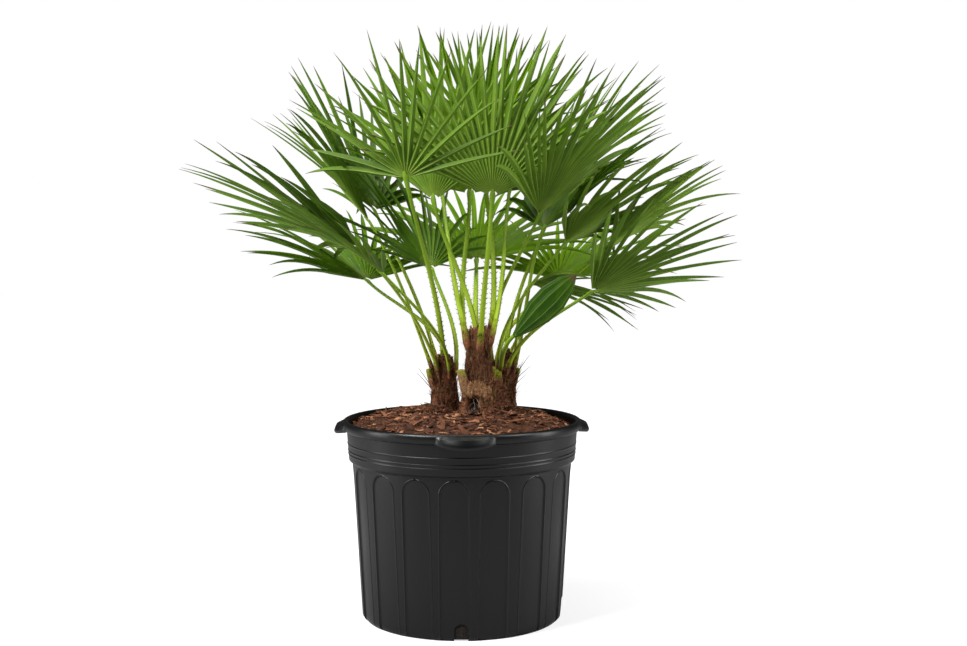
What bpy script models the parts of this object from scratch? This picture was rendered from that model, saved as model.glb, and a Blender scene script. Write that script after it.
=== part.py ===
"""European fan palm with three stems, in a black nursery pot with bark mulch.

Metres, +Z up.  The origin is the centre of the pot's underside, +X is to the
right of the front view and -Y is towards the viewer.  Each frond is one grown
piece: a spiny petiole and a pleated fan that splits into tapering blades.
The fronds are placed from a short table, then every fan that would touch its
neighbour is shifted a little, and every blade that would is bent clear.
"""
import math
import random

import bmesh
import bpy
import numpy as np
from mathutils import Vector
from mathutils.bvhtree import BVHTree

# Pot, turned about Z
POT_HEIGHT = 0.370
WALL = 0.0035
BASE_RADIUS = 0.1815
FOOT_RADIUS = 0.1875
FOOT_HEIGHT = 0.012
BODY_TOP_RADIUS = 0.2035
BODY_TOP = 0.292
BAND_RADIUS = 0.2105
BAND_BOTTOM = 0.297
BAND_TOP_RADIUS = 0.2146
LIP_BOTTOM = 0.352
LIP_RADIUS = 0.2225
RIDGE_HEIGHTS = (0.308, 0.3145, 0.327)
RIDGE_SIZE = 0.0009
POT_SIDES = 40

# Recessed arches round the body: seven measured ones, then an even rest
FLUTE_FRONT = (-66.5, -44.5, -24.0, -4.0, 16.5, 39.5, 61.5)
FLUTES = 17
FLUTE_WIDTH = 0.056
FLUTE_TOP = 0.2885
FLUTE_DEPTH = 0.0018
FLUTE_BEVEL = 0.0024

# Four lens-shaped grips on the lip and four drain holes at the foot
GRIP_AZIMUTH = 1.6
GRIP_HALF_ANGLE = 13.9
GRIP_REACH = 0.0160
HOLE_AZIMUTH = -0.6
HOLE_WIDTH = 0.025
HOLE_HEIGHT = 0.029

# Root ball and mulch
GAP = 0.0003
SOIL_TOP = 0.335
MULCH_EDGE = 0.355
MULCH_CROWN = 0.385
CHIPS = 25

# Stems: place on the soil, radius and the height of the fibrous crown; each is
# straight and plain in its hole, and leans above that
STEM_FOOT = 0.250
STEM_PLAIN = 0.389
STEMS = {
    "left": dict(at=(-0.032, 0.020), radius=0.0245, top=0.480, lean=(-0.02, 0.00)),
    "centre": dict(at=(0.028, -0.030), radius=0.0275, top=0.535, lean=(0.02, 0.02)),
    "right": dict(at=(0.076, 0.090), radius=0.0245, top=0.480, lean=(0.10, -0.05)),
}
STEM_SIDES = 12
SCALE_RISE = 0.028
SCALE_DEPTH = 0.10

# Cut leaf stubs on the stems: stem, azimuth from the front, foot, length, radius
STUBS = (
    ("centre", -62, 0.412, 0.055, 0.0115),
    ("centre", 118, 0.430, 0.040, 0.0090),
    ("right", -18, 0.408, 0.048, 0.0080),
    ("right", 100, 0.412, 0.045, 0.0085),
    ("left", -75, 0.415, 0.048, 0.0085),
    ("left", 165, 0.410, 0.044, 0.0090),
)

# Young frond that hasn't opened yet
YOUNG_FOOT = (0.074, 0.060, 0.455)
YOUNG_BEND = (0.072, -0.060, 0.515)
YOUNG_BASE = (0.097, -0.115, 0.536)
YOUNG_TIP = (0.200, -0.130, 0.641)
YOUNG_HALF_WIDTH = 0.027
YOUNG_STALK = 0.0048
YOUNG_STALK_END = 0.0036

# Leaf sizes
LEAF_THICKNESS = 0.0010
PLEAT = 0.42
BLADE_TAPER = 0.80
CLEARANCE = 0.0008
PETIOLE_BASE = 0.0058
PETIOLE_END = 0.0037
SPINE_LENGTH = 0.0045
SPINE_PITCH = 0.080
FIRST_SPINE = 0.075
LAST_SPINE = 0.030
FAN_CUP = 9
HEEL = 0.010
SOCKET_DEPTH = 0.045
SEAT_OFFSET = 0.58

# Steps of the small moves that clear a fan: across, depth and height, turn and roll
NUDGE = (0.010, 0.014, 0.010)
NUDGE_TURN = 6
NUDGE_ROLL = 9

# Fronds: stem, hub, heading and rise of the midrib, roll of the fan about it
# (all in degrees), blade length, number of blades, half spread, droop, and the
# share of the length that is joined
FRONDS = (
    ("centre", (0.054, -0.125, 0.780), -85, 76, 0, 0.318, 18, 70, 0.01, 0.36),
    ("left", (-0.098, -0.135, 0.812), -118, 64, -6, 0.270, 8, 88, 0.01, 0.15),
    ("right", (0.141, -0.060, 0.750), -36, 46, 5, 0.350, 18, 66, 0.02, 0.33),
    ("right", (0.237, -0.050, 0.609), -15, 18, 24, 0.300, 14, 74, 0.01, 0.29),
    ("left", (-0.141, -0.090, 0.643), -170, 28, 2, 0.290, 14, 82, 0.01, 0.29),
    ("right", (0.191, -0.010, 0.698), -10, 30, 12, 0.300, 14, 76, 0.02, 0.29),
    ("left", (-0.194, 0.020, 0.688), 178, 17, -14, 0.365, 14, 76, 0.01, 0.31),
    ("centre", (-0.052, -0.020, 0.775), -120, 87, 0, 0.355, 14, 60, 0.00, 0.29),
    ("right", (0.132, 0.070, 0.620), -12, -18, 20, 0.220, 8, 60, 0.02, 0.29),
    ("centre", (0.015, 0.050, 0.789), 95, 80, 0, 0.340, 14, 80, 0.00, 0.29),
    ("right", (0.154, 0.060, 0.725), 20, 45, 12, 0.350, 14, 80, 0.02, 0.29),
    ("centre", (0.105, 0.160, 0.800), 62, 66, 0, 0.330, 14, 80, 0.01, 0.29),
    ("left", (-0.170, 0.140, 0.760), 150, 52, -8, 0.340, 14, 82, 0.01, 0.29),
    ("left", (-0.058, 0.110, 0.647), 140, 45, 0, 0.300, 13, 80, 0.02, 0.29),
    ("centre", (-0.030, 0.220, 0.790), 98, 55, 0, 0.330, 14, 88, 0.02, 0.29),
    ("right", (0.190, 0.170, 0.790), 35, 56, 5, 0.340, 14, 86, 0.02, 0.29),
    ("right", (0.285, 0.100, 0.690), 8, 26, 18, 0.300, 14, 84, 0.02, 0.29),
    ("centre", (0.030, 0.270, 0.660), 88, 30, 0, 0.320, 14, 88, 0.03, 0.29),
    ("left", (-0.190, 0.220, 0.620), 135, 28, 0, 0.320, 14, 88, 0.03, 0.29),
    ("right", (0.200, 0.290, 0.620), 58, 24, 0, 0.310, 14, 88, 0.03, 0.29),
    ("left", (-0.165, 0.070, 0.738), 168, 42, -26, 0.300, 13, 68, 0.02, 0.29),
    ("centre", (0.040, 0.130, 0.900), 80, 74, 0, 0.230, 12, 80, 0.00, 0.29),
)

UP = np.array((0.0, 0.0, 1.0))


def half_height(share):
    """Half the petiole's thickness along its length."""
    return 0.0038 - 0.0010 * share


def clear_scene():
    for obj in list(bpy.data.objects):
        bpy.data.objects.remove(obj, do_unlink=True)


def material(name, colour, roughness, metallic=0.0):
    made = bpy.data.materials.new(name)
    made.use_nodes = True
    shader = made.node_tree.nodes["Principled BSDF"]
    shader.inputs["Base Color"].default_value = (*colour, 1.0)
    shader.inputs["Roughness"].default_value = roughness
    shader.inputs["Metallic"].default_value = metallic
    return made


def add_mesh(name, verts, faces, made=None):
    mesh = bpy.data.meshes.new(name)
    mesh.from_pydata([tuple(v) for v in verts], [], faces)
    mesh.update()
    obj = bpy.data.objects.new(name, mesh)
    bpy.context.scene.collection.objects.link(obj)
    if made:
        mesh.materials.append(made)
    return obj


def combine(solids):
    """Join the vertex and face lists of several solids into one pair of lists."""
    verts = []
    faces = []
    for some_verts, some_faces in solids:
        start = len(verts)
        verts.extend(some_verts)
        faces.extend([tuple(start + i for i in face) for face in some_faces])
    return verts, faces


def unit(vector):
    vector = np.asarray(vector, float)
    return vector / np.linalg.norm(vector)


def turned(profile, sides):
    """Turn a closed (radius, height) outline about Z; radius 0 closes on the axis."""
    verts = []
    rings = []
    for radius, height in profile:
        if radius == 0:
            rings.append([len(verts)])
            verts.append((0.0, 0.0, height))
            continue
        rings.append(list(range(len(verts), len(verts) + sides)))
        for k in range(sides):
            angle = 2 * math.pi * k / sides
            verts.append((radius * math.cos(angle), radius * math.sin(angle), height))
    faces = []
    for ring, after in zip(rings, rings[1:] + rings[:1]):
        if len(ring) == 1 and len(after) == 1:
            continue
        for k in range(sides):
            n = (k + 1) % sides
            if len(ring) == 1:
                faces.append((ring[0], after[n], after[k]))
            elif len(after) == 1:
                faces.append((ring[k], ring[n], after[0]))
            else:
                faces.append((ring[k], ring[n], after[n], after[k]))
    return verts, faces


def lofted(sections):
    """Closed solid through sections that have the same number of points."""
    count = len(sections[0])
    verts = [tuple(p) for section in sections for p in section]
    faces = [tuple(reversed(range(count)))]
    for s in range(len(sections) - 1):
        for k in range(count):
            n = (k + 1) % count
            a = s * count
            b = a + count
            faces.append((a + k, a + n, b + n, b + k))
    faces.append(tuple(range(len(verts) - count, len(verts))))
    return verts, faces


def face_out(obj):
    """Turn the faces of a closed mesh outwards."""
    work = bmesh.new()
    work.from_mesh(obj.data)
    bmesh.ops.recalc_face_normals(work, faces=work.faces)
    work.to_mesh(obj.data)
    work.free()


def apply_modifiers(obj):
    graph = bpy.context.evaluated_depsgraph_get()
    mesh = bpy.data.meshes.new_from_object(obj.evaluated_get(graph))
    obj.modifiers.clear()
    obj.data = mesh


def cut(obj, cutter):
    """Take a cutter out of an object, and remove the cutter."""
    step = obj.modifiers.new("cut", "BOOLEAN")
    step.operation = "DIFFERENCE"
    step.object = cutter
    apply_modifiers(obj)
    bpy.data.objects.remove(cutter, do_unlink=True)


def fuse(obj, extras, solver="EXACT"):
    """Union an object with a list of (verts, faces) solids."""
    group = bpy.data.collections.new("parts of " + obj.name)
    for solid in extras:
        piece = add_mesh("piece", *solid)
        face_out(piece)
        bpy.context.scene.collection.objects.unlink(piece)
        group.objects.link(piece)
    bpy.context.scene.collection.children.link(group)
    step = obj.modifiers.new("fuse", "BOOLEAN")
    step.operation = "UNION"
    step.solver = solver
    step.operand_type = "COLLECTION"
    step.collection = group
    apply_modifiers(obj)
    for piece in list(group.objects):
        bpy.data.objects.remove(piece, do_unlink=True)
    bpy.data.collections.remove(group)


def keep_largest(obj):
    """Drop loose scraps, so that the mesh is one body."""
    work = bmesh.new()
    work.from_mesh(obj.data)
    left = set(work.faces)
    bodies = []
    while left:
        body = [left.pop()]
        for face in body:
            near = {other for edge in face.edges for other in edge.link_faces} & left
            left -= near
            body.extend(near)
        bodies.append(body)
    bodies.sort(key=len)
    for body in bodies[:-1]:
        print(obj.name, "drops a scrap of", len(body), "faces")
        bmesh.ops.delete(work, geom=body, context="FACES")
    work.to_mesh(obj.data)
    work.free()


def around(radius, azimuth, height):
    """Point at an azimuth in degrees from the front, positive towards +X."""
    angle = math.radians(azimuth)
    return (radius * math.sin(angle), -radius * math.cos(angle), height)


def body_radius(height):
    """Outer radius of the tapering body."""
    share = (height - FOOT_HEIGHT) / (BODY_TOP - FOOT_HEIGHT)
    return FOOT_RADIUS + (BODY_TOP_RADIUS - FOOT_RADIUS) * share


def pot_profile():
    outer = [(BASE_RADIUS, 0.0), (FOOT_RADIUS - 0.0018, 0.0045), (FOOT_RADIUS, FOOT_HEIGHT)]
    outer += [(BODY_TOP_RADIUS, BODY_TOP), (BAND_RADIUS, BAND_BOTTOM)]
    for height in RIDGE_HEIGHTS:
        share = (height - BAND_BOTTOM) / (LIP_BOTTOM - BAND_BOTTOM)
        radius = BAND_RADIUS + (BAND_TOP_RADIUS - BAND_RADIUS) * share
        outer += [(radius + RIDGE_SIZE, height), (radius, height + 0.0015)]
    outer += [(BAND_TOP_RADIUS, LIP_BOTTOM), (LIP_RADIUS - 0.0008, LIP_BOTTOM + 0.0008)]
    outer += [(LIP_RADIUS, 0.3635), (0.2190, 0.3693), (0.2155, POT_HEIGHT), (0.2120, 0.3670)]
    inner = [(inner_radius(h), h) for h in (LIP_BOTTOM - 0.004, BAND_BOTTOM + 0.001, BODY_TOP - 0.003, WALL)]
    return [(0, 0.0)] + outer + inner + [(0, WALL)]


def inner_radius(height):
    """Radius of the pot's inner wall, which steps in under the band."""
    heights = (WALL, BODY_TOP - 0.003, BAND_BOTTOM + 0.001, LIP_BOTTOM - 0.004, POT_HEIGHT)
    radii = (body_radius(WALL) - WALL, BODY_TOP_RADIUS - WALL, BAND_RADIUS - WALL, 0.2106, 0.2118)
    return float(np.interp(height, heights, radii))


def flute_azimuths():
    rest = FLUTES - len(FLUTE_FRONT)
    span = 360 - (FLUTE_FRONT[-1] - FLUTE_FRONT[0])
    step = span / (rest + 1)
    return list(FLUTE_FRONT) + [FLUTE_FRONT[-1] + step * (k + 1) for k in range(rest)]


def flute(azimuth):
    """Cutter for one arch: bevelled edges, its floor FLUTE_DEPTH under the body."""
    half = FLUTE_WIDTH / 2
    level = 1 - FLUTE_BEVEL / half
    sections = []
    for across in (-1.0, -level, -0.60, 0.0, 0.60, level, 1.0):
        sunk = 0.0 if abs(across) == 1 else 1.0
        top = FLUTE_TOP - half + half * math.sqrt(1 - across ** 2)
        depth = FLUTE_DEPTH * sunk
        place = azimuth + math.degrees(across * half / body_radius(FLUTE_TOP / 2))
        ring = [(body_radius(top) + 0.006, top + FLUTE_BEVEL), (body_radius(top), top)]
        ring += [(body_radius(top) - depth, top - FLUTE_BEVEL * sunk - 0.0001)]
        ring += [(body_radius(-0.01) - depth, -0.01), (body_radius(-0.01) + 0.006, -0.01)]
        sections.append([around(radius, place, height) for radius, height in ring])
    return lofted(sections)


def grip(azimuth):
    """Lens-shaped grip that swells out of the lip."""
    sections = []
    stations = 7
    for k in range(stations):
        turn = -1 + 2 * k / (stations - 1)
        swell = math.cos(math.pi / 2 * turn) ** 0.8 if abs(turn) < 1 else 0.0
        reach = LIP_RADIUS - 0.0012 + (GRIP_REACH + 0.001) * swell
        outline = [(0.2160, 0.3692 - 0.0010 * (1 - swell)), (0.2200, 0.3675)]
        outline += [(reach - 0.0030 * swell, 0.3630 - 0.0015 * swell), (reach, 0.3580 - 0.0030 * swell)]
        outline += [(reach - 0.0025 * swell, 0.3535 - 0.0045 * swell), (0.2190, 0.3530 - 0.0060 * swell)]
        outline += [(0.2135, 0.3535 - 0.0040 * swell)]
        place = azimuth + GRIP_HALF_ANGLE * turn
        sections.append([around(r, place, z) for r, z in outline])
    return lofted(sections)


def drain(azimuth):
    """Cutter for one round-topped hole through the wall at the foot."""
    half = HOLE_WIDTH / 2
    outline = [(-half, -0.01), (half, -0.01)]
    for k in range(9):
        turn = math.pi * k / 8
        outline.append((half * math.cos(turn), HOLE_HEIGHT - half + half * math.sin(turn)))
    side = np.array(around(1, azimuth + 90, 0))
    out = np.array(around(1, azimuth, 0))
    sections = [[out * depth + side * across + UP * height for across, height in outline]
                for depth in (0.172, 0.200)]
    return lofted(sections)


def make_pot():
    plastic = material("black_plastic", (0.012, 0.013, 0.014), 0.42)
    verts, faces = turned(pot_profile(), POT_SIDES)
    pot = add_mesh("pot", verts, faces, plastic)
    face_out(pot)
    flutes = add_mesh("flute cutter", *combine([flute(a) for a in flute_azimuths()]))
    face_out(flutes)
    cut(pot, flutes)
    holes = add_mesh("hole cutter", *combine([drain(HOLE_AZIMUTH + 90 * k) for k in range(4)]))
    face_out(holes)
    cut(pot, holes)
    fuse(pot, [grip(GRIP_AZIMUTH + 90 * k) for k in range(4)])
    return pot


def stem_centre(stem, height):
    """Point on a stem's axis, which leans above the soil."""
    place = np.array((*stem["at"], height))
    rise = max(0.0, height - STEM_PLAIN)
    return place + np.array((*stem["lean"], 0.0)) * rise


def stem_hole(stem):
    """Cutter for the plain round hole in which a stem stands."""
    sections = []
    for height in (STEM_FOOT - GAP, 0.45):
        centre = np.array((*stem["at"], height))
        ring = [centre + (stem["radius"] + GAP) * np.array((math.cos(t), math.sin(t), 0.0))
                for t in np.linspace(0, 2 * math.pi, STEM_SIDES, endpoint=False)]
        sections.append(ring)
    return lofted(sections)


def make_soil():
    earth = material("root_ball", (0.045, 0.028, 0.018), 0.95)
    low = WALL + GAP
    heights = (low, BODY_TOP - 0.003, BAND_BOTTOM + 0.0018, SOIL_TOP)
    profile = [(0, low)] + [(inner_radius(h) - 0.0006, h) for h in heights] + [(0, SOIL_TOP)]
    soil = add_mesh("root_ball", *turned(profile, POT_SIDES), earth)
    face_out(soil)
    for stem in STEMS.values():
        hole = add_mesh("hole cutter", *stem_hole(stem))
        face_out(hole)
        cut(soil, hole)
    return soil


def mulch_height(x, y):
    """Top of the mulch: a low mound, lower at the edge and lowest at the right."""
    radius = math.hypot(x, y)
    edge = MULCH_EDGE - 0.006 * max(0.0, x / 0.2)
    share = max(0.0, 1 - (radius / 0.209) ** 2.6)
    ripple = math.sin(61 * x + 1.3) * math.sin(53 * y + 0.4) + 0.6 * math.sin(131 * x) * math.cos(117 * y)
    return edge + (MULCH_CROWN - edge) * share ** 0.8 + 0.0016 * ripple


def chip(rng):
    """One bark chip, a thin wedge sunk by half into the mulch."""
    radius = 0.205 * math.sqrt(rng.uniform(0.02, 0.86))
    angle = rng.uniform(0, 2 * math.pi)
    x = radius * math.cos(angle)
    y = radius * math.sin(angle)
    length = rng.uniform(0.017, 0.036)
    width = rng.uniform(0.008, 0.016)
    thick = rng.uniform(0.004, 0.007)
    heading = rng.uniform(0, 2 * math.pi)
    tilt = rng.uniform(-0.35, 0.35)
    along = np.array((math.cos(heading) * math.cos(tilt), math.sin(heading) * math.cos(tilt), math.sin(tilt)))
    across = unit(np.cross(UP, along))
    over = np.cross(along, across)
    centre = np.array((x, y, mulch_height(x, y) + 0.0006))
    sections = []
    for s, w, t in ((-0.5, 0.55, 0.5), (0.1, 1.0, 1.0), (0.5, 0.7, 0.45)):
        middle = centre + along * length * s
        sections.append([middle + across * width * w * a + over * thick * t * b
                         for a, b in ((-0.5, -0.5), (0.5, -0.5), (0.5, 0.5), (-0.5, 0.5))])
    return lofted(sections), (x, y, length)


def make_mulch():
    bark = material("bark_mulch", (0.19, 0.07, 0.032), 0.9)
    rng = random.Random(7)
    low = SOIL_TOP + GAP
    rings = (0.05, 0.10, 0.145, 0.180, 0.198)
    sides = 26
    verts = [(0, 0, mulch_height(0, 0))]
    for radius in rings:
        for k in range(sides):
            angle = 2 * math.pi * k / sides
            x = radius * math.cos(angle)
            y = radius * math.sin(angle)
            verts.append((x, y, mulch_height(x, y)))
    edge = inner_radius(low) - 0.0012
    for height in (MULCH_EDGE - 0.003, low):
        for k in range(sides):
            angle = 2 * math.pi * k / sides
            verts.append((edge * math.cos(angle), edge * math.sin(angle), height))
    faces = []
    for k in range(sides):
        n = (k + 1) % sides
        faces.append((0, 1 + k, 1 + n))
        for ring in range(len(rings) + 1):
            a = 1 + ring * sides
            b = a + sides
            faces.append((a + k, b + k, b + n))
            faces.append((a + k, b + n, a + n))
    faces.append(tuple(range(len(verts) - sides, len(verts))))
    mulch = add_mesh("mulch", verts, faces, bark)
    face_out(mulch)
    chips = []
    while len(chips) < CHIPS:
        solid, (x, y, length) = chip(rng)
        clear = all(math.dist((x, y), s["at"]) > s["radius"] + 0.5 * length + 0.004 for s in STEMS.values())
        if clear and math.hypot(x, y) + length / 2 < edge - 0.003:
            chips.append(solid)
    fuse(mulch, chips)
    for stem in STEMS.values():
        hole = add_mesh("hole cutter", *stem_hole(stem))
        face_out(hole)
        cut(mulch, hole)
    keep_largest(mulch)
    return mulch


def fan_frame(heading, rise, roll):
    """Midrib, sideways and upper-face directions of a fan."""
    a = math.radians(heading)
    e = math.radians(rise)
    along = np.array((math.cos(a) * math.cos(e), math.sin(a) * math.cos(e), math.sin(e)))
    over = unit(UP - along * (UP @ along))
    side = np.cross(over, along)
    turn = math.radians(roll)
    rolled = over * math.cos(turn) + side * math.sin(turn)
    return along, side * math.cos(turn) - over * math.sin(turn), rolled


class Frond:
    """Shape of one frond: its petiole's path and its fan of blades."""

    def __init__(self, number, stem, hub, heading, rise, roll, length, blades, spread, droop, joined):
        self.name = f"frond_{number:02d}"
        self.stem = STEMS[stem]
        self.stem_name = stem
        self.hub = np.array(hub, float)
        self.heading = heading
        self.rise = rise
        self.roll = roll
        self.length = length
        self.blades = blades
        self.spread = math.radians(spread)
        self.droop = droop
        self.joined = joined
        self.rng = random.Random(100 + number)
        self.reach = [self.blade_reach(i) for i in range(blades)]
        self.bends = [(0.0, 0.0, 1.0)] * blades
        self.seat = 0.0
        self.offset = 0.0
        self.aim()

    def aim(self):
        self.along, self.side, self.over = fan_frame(self.heading, self.rise, self.roll)
        self.split = self.joined * self.length

    def blade_reach(self, i):
        """Length of one blade: the outer ones are shorter, and none is the same."""
        off = abs(2 * (i + 0.5) / self.blades - 1)
        return self.length * (1 - 0.22 * off ** 2.2) * self.rng.uniform(0.94, 1.04)

    def spoke(self, angle):
        """Direction of a line that leaves the hub; the fan is a shallow cone."""
        cup = math.radians(FAN_CUP)
        flat = self.along * math.cos(angle) + self.side * math.sin(angle)
        return flat * math.cos(cup) + self.over * math.sin(cup)

    def step(self):
        return 2 * self.spread / self.blades

    def petiole_line(self, count):
        """Points from deep in the stem to just past the hub."""
        low = self.stem["top"] - SOCKET_DEPTH
        out = np.array((math.cos(self.seat), math.sin(self.seat), 0.0))
        start = stem_centre(self.stem, low) + out * self.offset
        span = np.linalg.norm(self.hub - start)
        first = start + unit(UP + out * self.offset / self.stem["radius"] * 0.6) * span * 0.36
        blend = unit(unit(self.hub - start) * 0.65 + self.along * 0.35)
        last = self.hub - blend * span * 0.30
        points = []
        for t in np.linspace(0, 1, count):
            points.append(start * (1 - t) ** 3 + first * 3 * t * (1 - t) ** 2
                          + last * 3 * t * t * (1 - t) + self.hub * t ** 3)
        points.append(self.hub + self.along * 0.0015)
        return points

    def petiole(self, count=6, grow=0.0, root_grow=0.0, part=1.0):
        """Six-sided stalk, wider than thick, that flattens into the fan."""
        points = self.petiole_line(count)
        points = points[:max(3, round(part * len(points)))]
        points[0] = points[0] - unit(points[1] - points[0]) * root_grow
        sections = []
        for k, point in enumerate(points):
            before = points[max(0, k - 1)]
            after = points[min(len(points) - 1, k + 1)]
            tangent = unit(after - before)
            across = unit(self.side - tangent * (self.side @ tangent))
            over = np.cross(tangent, across)
            share = min(1.0, k / (count - 1))
            half = PETIOLE_BASE - (PETIOLE_BASE - PETIOLE_END) * share
            half += root_grow + (grow - root_grow) * min(1.0, 4 * share)
            high = half_height(share) + grow
            if share == 1:
                half += 0.0020
            if k == count:
                half *= 0.6
            ring = []
            for a, b in ((1, -0.5), (1, 0.5), (0, 1), (-1, 0.5), (-1, -0.5), (0, -1)):
                ring.append(point + across * half * a + over * high * b)
            sections.append(ring)
        return lofted(sections)

    def spines(self):
        """Forward-pointing spines along both margins, clear of the stem."""
        points = self.petiole_line(24)
        lengths = np.cumsum([0] + [np.linalg.norm(b - a) for a, b in zip(points, points[1:])])
        solids = []
        place = FIRST_SPINE
        turn = 0
        while place < lengths[-1] - LAST_SPINE:
            k = int(np.searchsorted(lengths, place)) - 1
            share = (place - lengths[k]) / (lengths[k + 1] - lengths[k])
            point = points[k] * (1 - share) + points[k + 1] * share
            tangent = unit(points[k + 1] - points[k])
            across = unit(self.side - tangent * (self.side @ tangent))
            over = np.cross(tangent, across)
            hand = 1 if turn % 2 else -1
            half = PETIOLE_BASE - (PETIOLE_BASE - PETIOLE_END) * place / lengths[-1]
            root = point + across * hand * (half - 0.0012)
            tip = point + across * hand * (half + SPINE_LENGTH) + tangent * 0.0030
            verts = [root - tangent * 0.0018, root + tangent * 0.0018 + over * 0.0009]
            verts += [root + tangent * 0.0018 - over * 0.0009, tip]
            solids.append((verts, [(0, 1, 2), (0, 3, 1), (1, 3, 2), (2, 3, 0)]))
            place += SPINE_PITCH / 2
            turn += 1
        return solids

    def blade_axis(self, i, bend=None):
        """Point function and direction of one free blade past the split."""
        angle = -self.spread + (i + 0.5) * self.step()
        lift, sway, keep = bend or self.bends[i]
        way = self.spoke(angle + math.radians(sway))
        a = math.radians(lift)
        way = unit(way * math.cos(a) + self.over * math.sin(a))
        root = self.hub + self.spoke(angle) * self.split
        free = (self.reach[i] - self.split) * keep

        def at(share):
            return root + way * free * share - UP * self.droop * share * share

        return at, way

    def blade_sections(self, i, bend=None, grow=0.0):
        """Margins at the mid station, the tip, and the blade's own upward direction."""
        at, way = self.blade_axis(i, bend)
        across = unit(np.cross(self.over, way))
        over = np.cross(way, across)
        half = self.split * math.sin(self.step() / 2) * BLADE_TAPER + grow
        middle = at(0.45)
        return (middle - across * half, middle + across * half), at(1.0), over

    def split_points(self, i):
        """Left margin, midrib and right margin of a blade where it leaves the fan."""
        angle = -self.spread + (i + 0.5) * self.step()
        ridge = self.split * math.sin(self.step() / 2) * PLEAT
        points = []
        for off, lift in ((-0.5, ridge), (0.0, -ridge), (0.5, ridge)):
            points.append(self.hub + self.spoke(angle + off * self.step()) * self.split + self.over * lift)
        return points

    def fan(self):
        """Closed fan: pleated to the split, then free blades, two faces thick."""
        half = LEAF_THICKNESS / 2
        verts = []

        def pair(point, normal):
            verts.append(point + normal * half)
            verts.append(point - normal * half)
            return len(verts) - 2

        faces = []

        def skin(a, b, c):
            faces.append((a, b, c))
            faces.append((c + 1, b + 1, a + 1))

        def wall(a, b):
            faces.append((b, a, a + 1))
            faces.append((b, a + 1, b + 1))

        hub = pair(self.hub + self.along * HEEL / 2, self.over)
        heel = pair(self.hub - self.along * HEEL, self.over)
        left = pair(self.split_points(0)[0], self.over)
        wall(left, heel)
        skin(heel, hub, left)
        for i in range(self.blades):
            _, rib, margin = self.split_points(i)
            rib = pair(rib, self.over)
            right = pair(margin, self.over)
            skin(hub, rib, left)
            skin(hub, right, rib)
            if self.bends[i][2] == 0:
                wall(rib, left)
                wall(right, rib)
                left = right
                continue
            mid, tip, over = self.blade_sections(i)
            mids = [pair(point, over) for point in mid]
            end = pair(tip, over)
            skin(left, rib, mids[0])
            skin(rib, mids[1], mids[0])
            skin(rib, right, mids[1])
            skin(mids[0], mids[1], end)
            wall(mids[0], left)
            wall(end, mids[0])
            wall(mids[1], end)
            wall(right, mids[1])
            left = right
        wall(heel, left)
        skin(heel, left, hub)
        return verts, faces

    def hard_shell(self):
        """Petiole and pleated part, a little oversize, for the clearance test."""
        rim = []
        for i in range(self.blades):
            rim += self.split_points(i)[:2]
        rim.append(self.split_points(self.blades - 1)[2])
        grown = [self.hub + (p - self.hub) * 1.02 for p in rim]
        verts = []
        faces = []
        for sign in (1, -1):
            start = len(verts)
            verts.append(self.hub + self.over * sign * (LEAF_THICKNESS / 2 + CLEARANCE))
            verts += [p + self.over * sign * (LEAF_THICKNESS / 2 + CLEARANCE) for p in grown]
            faces += [(start, start + k, start + k + 1) for k in range(1, len(grown))]
        fan = (verts, faces)
        return combine([fan, triangles(self.petiole(6, CLEARANCE))] + self.spines())

    def blade_shell(self, i, bend):
        """One free blade, a little oversize, for the clearance test."""
        mid, tip, over = self.blade_sections(i, bend, CLEARANCE)
        _, way = self.blade_axis(i, bend)
        left, rib, right = self.split_points(i)
        start = [left * 0.97 + mid[0] * 0.03, rib, right * 0.97 + mid[1] * 0.03]
        lift = over * (LEAF_THICKNESS / 2 + CLEARANCE)
        verts = []
        faces = []
        for sign in (1, -1):
            s = len(verts)
            verts += [p + lift * sign for p in start + list(mid) + [tip + way * 0.002]]
            faces += [(s, s + 1, s + 3), (s + 1, s + 4, s + 3), (s + 1, s + 2, s + 4), (s + 3, s + 4, s + 5)]
        faces += [(0, 3, 6), (3, 9, 6), (3, 5, 9), (5, 11, 9), (2, 4, 8), (4, 10, 8), (4, 5, 10), (5, 11, 10)]
        return verts, faces


def triangles(solid):
    verts, faces = solid
    made = []
    for face in faces:
        made += [(face[0], face[k], face[k + 1]) for k in range(1, len(face) - 1)]
    return verts, made


def tree(solid):
    verts, faces = solid
    return BVHTree.FromPolygons([Vector(v) for v in verts], faces)


def stem_block(stem):
    """Plain column round a stem, for the clearance test."""
    sections = []
    for height in (MULCH_CROWN - 0.02, stem["top"] + 0.012):
        centre = stem_centre(stem, height)
        sections.append([centre + (stem["radius"] + 0.010) * np.array((math.cos(t), math.sin(t), 0))
                         for t in np.linspace(0, 2 * math.pi, 10, endpoint=False)])
    return triangles(lofted(sections))


def seat_petioles(fronds):
    """Share each stem's crown out: the most upright petiole in the middle, the rest round it."""
    for name, stem in STEMS.items():
        own = [frond for frond in fronds if frond.stem_name == name]
        own.sort(key=lambda frond: frond.rise)
        own.pop()
        bearings = []
        for frond in own:
            away = frond.hub - stem_centre(stem, stem["top"])
            bearings.append(math.atan2(away[1], away[0]))
        order = sorted(range(len(own)), key=lambda k: bearings[k])
        even = [2 * math.pi * k / len(own) for k in range(len(own))]
        drift = sum(np.exp(1j * (bearings[k] - turn)) for k, turn in zip(order, even))
        for k, turn in zip(order, even):
            own[k].seat = turn + float(np.angle(drift))
            own[k].offset = stem["radius"] * SEAT_OFFSET


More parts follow.
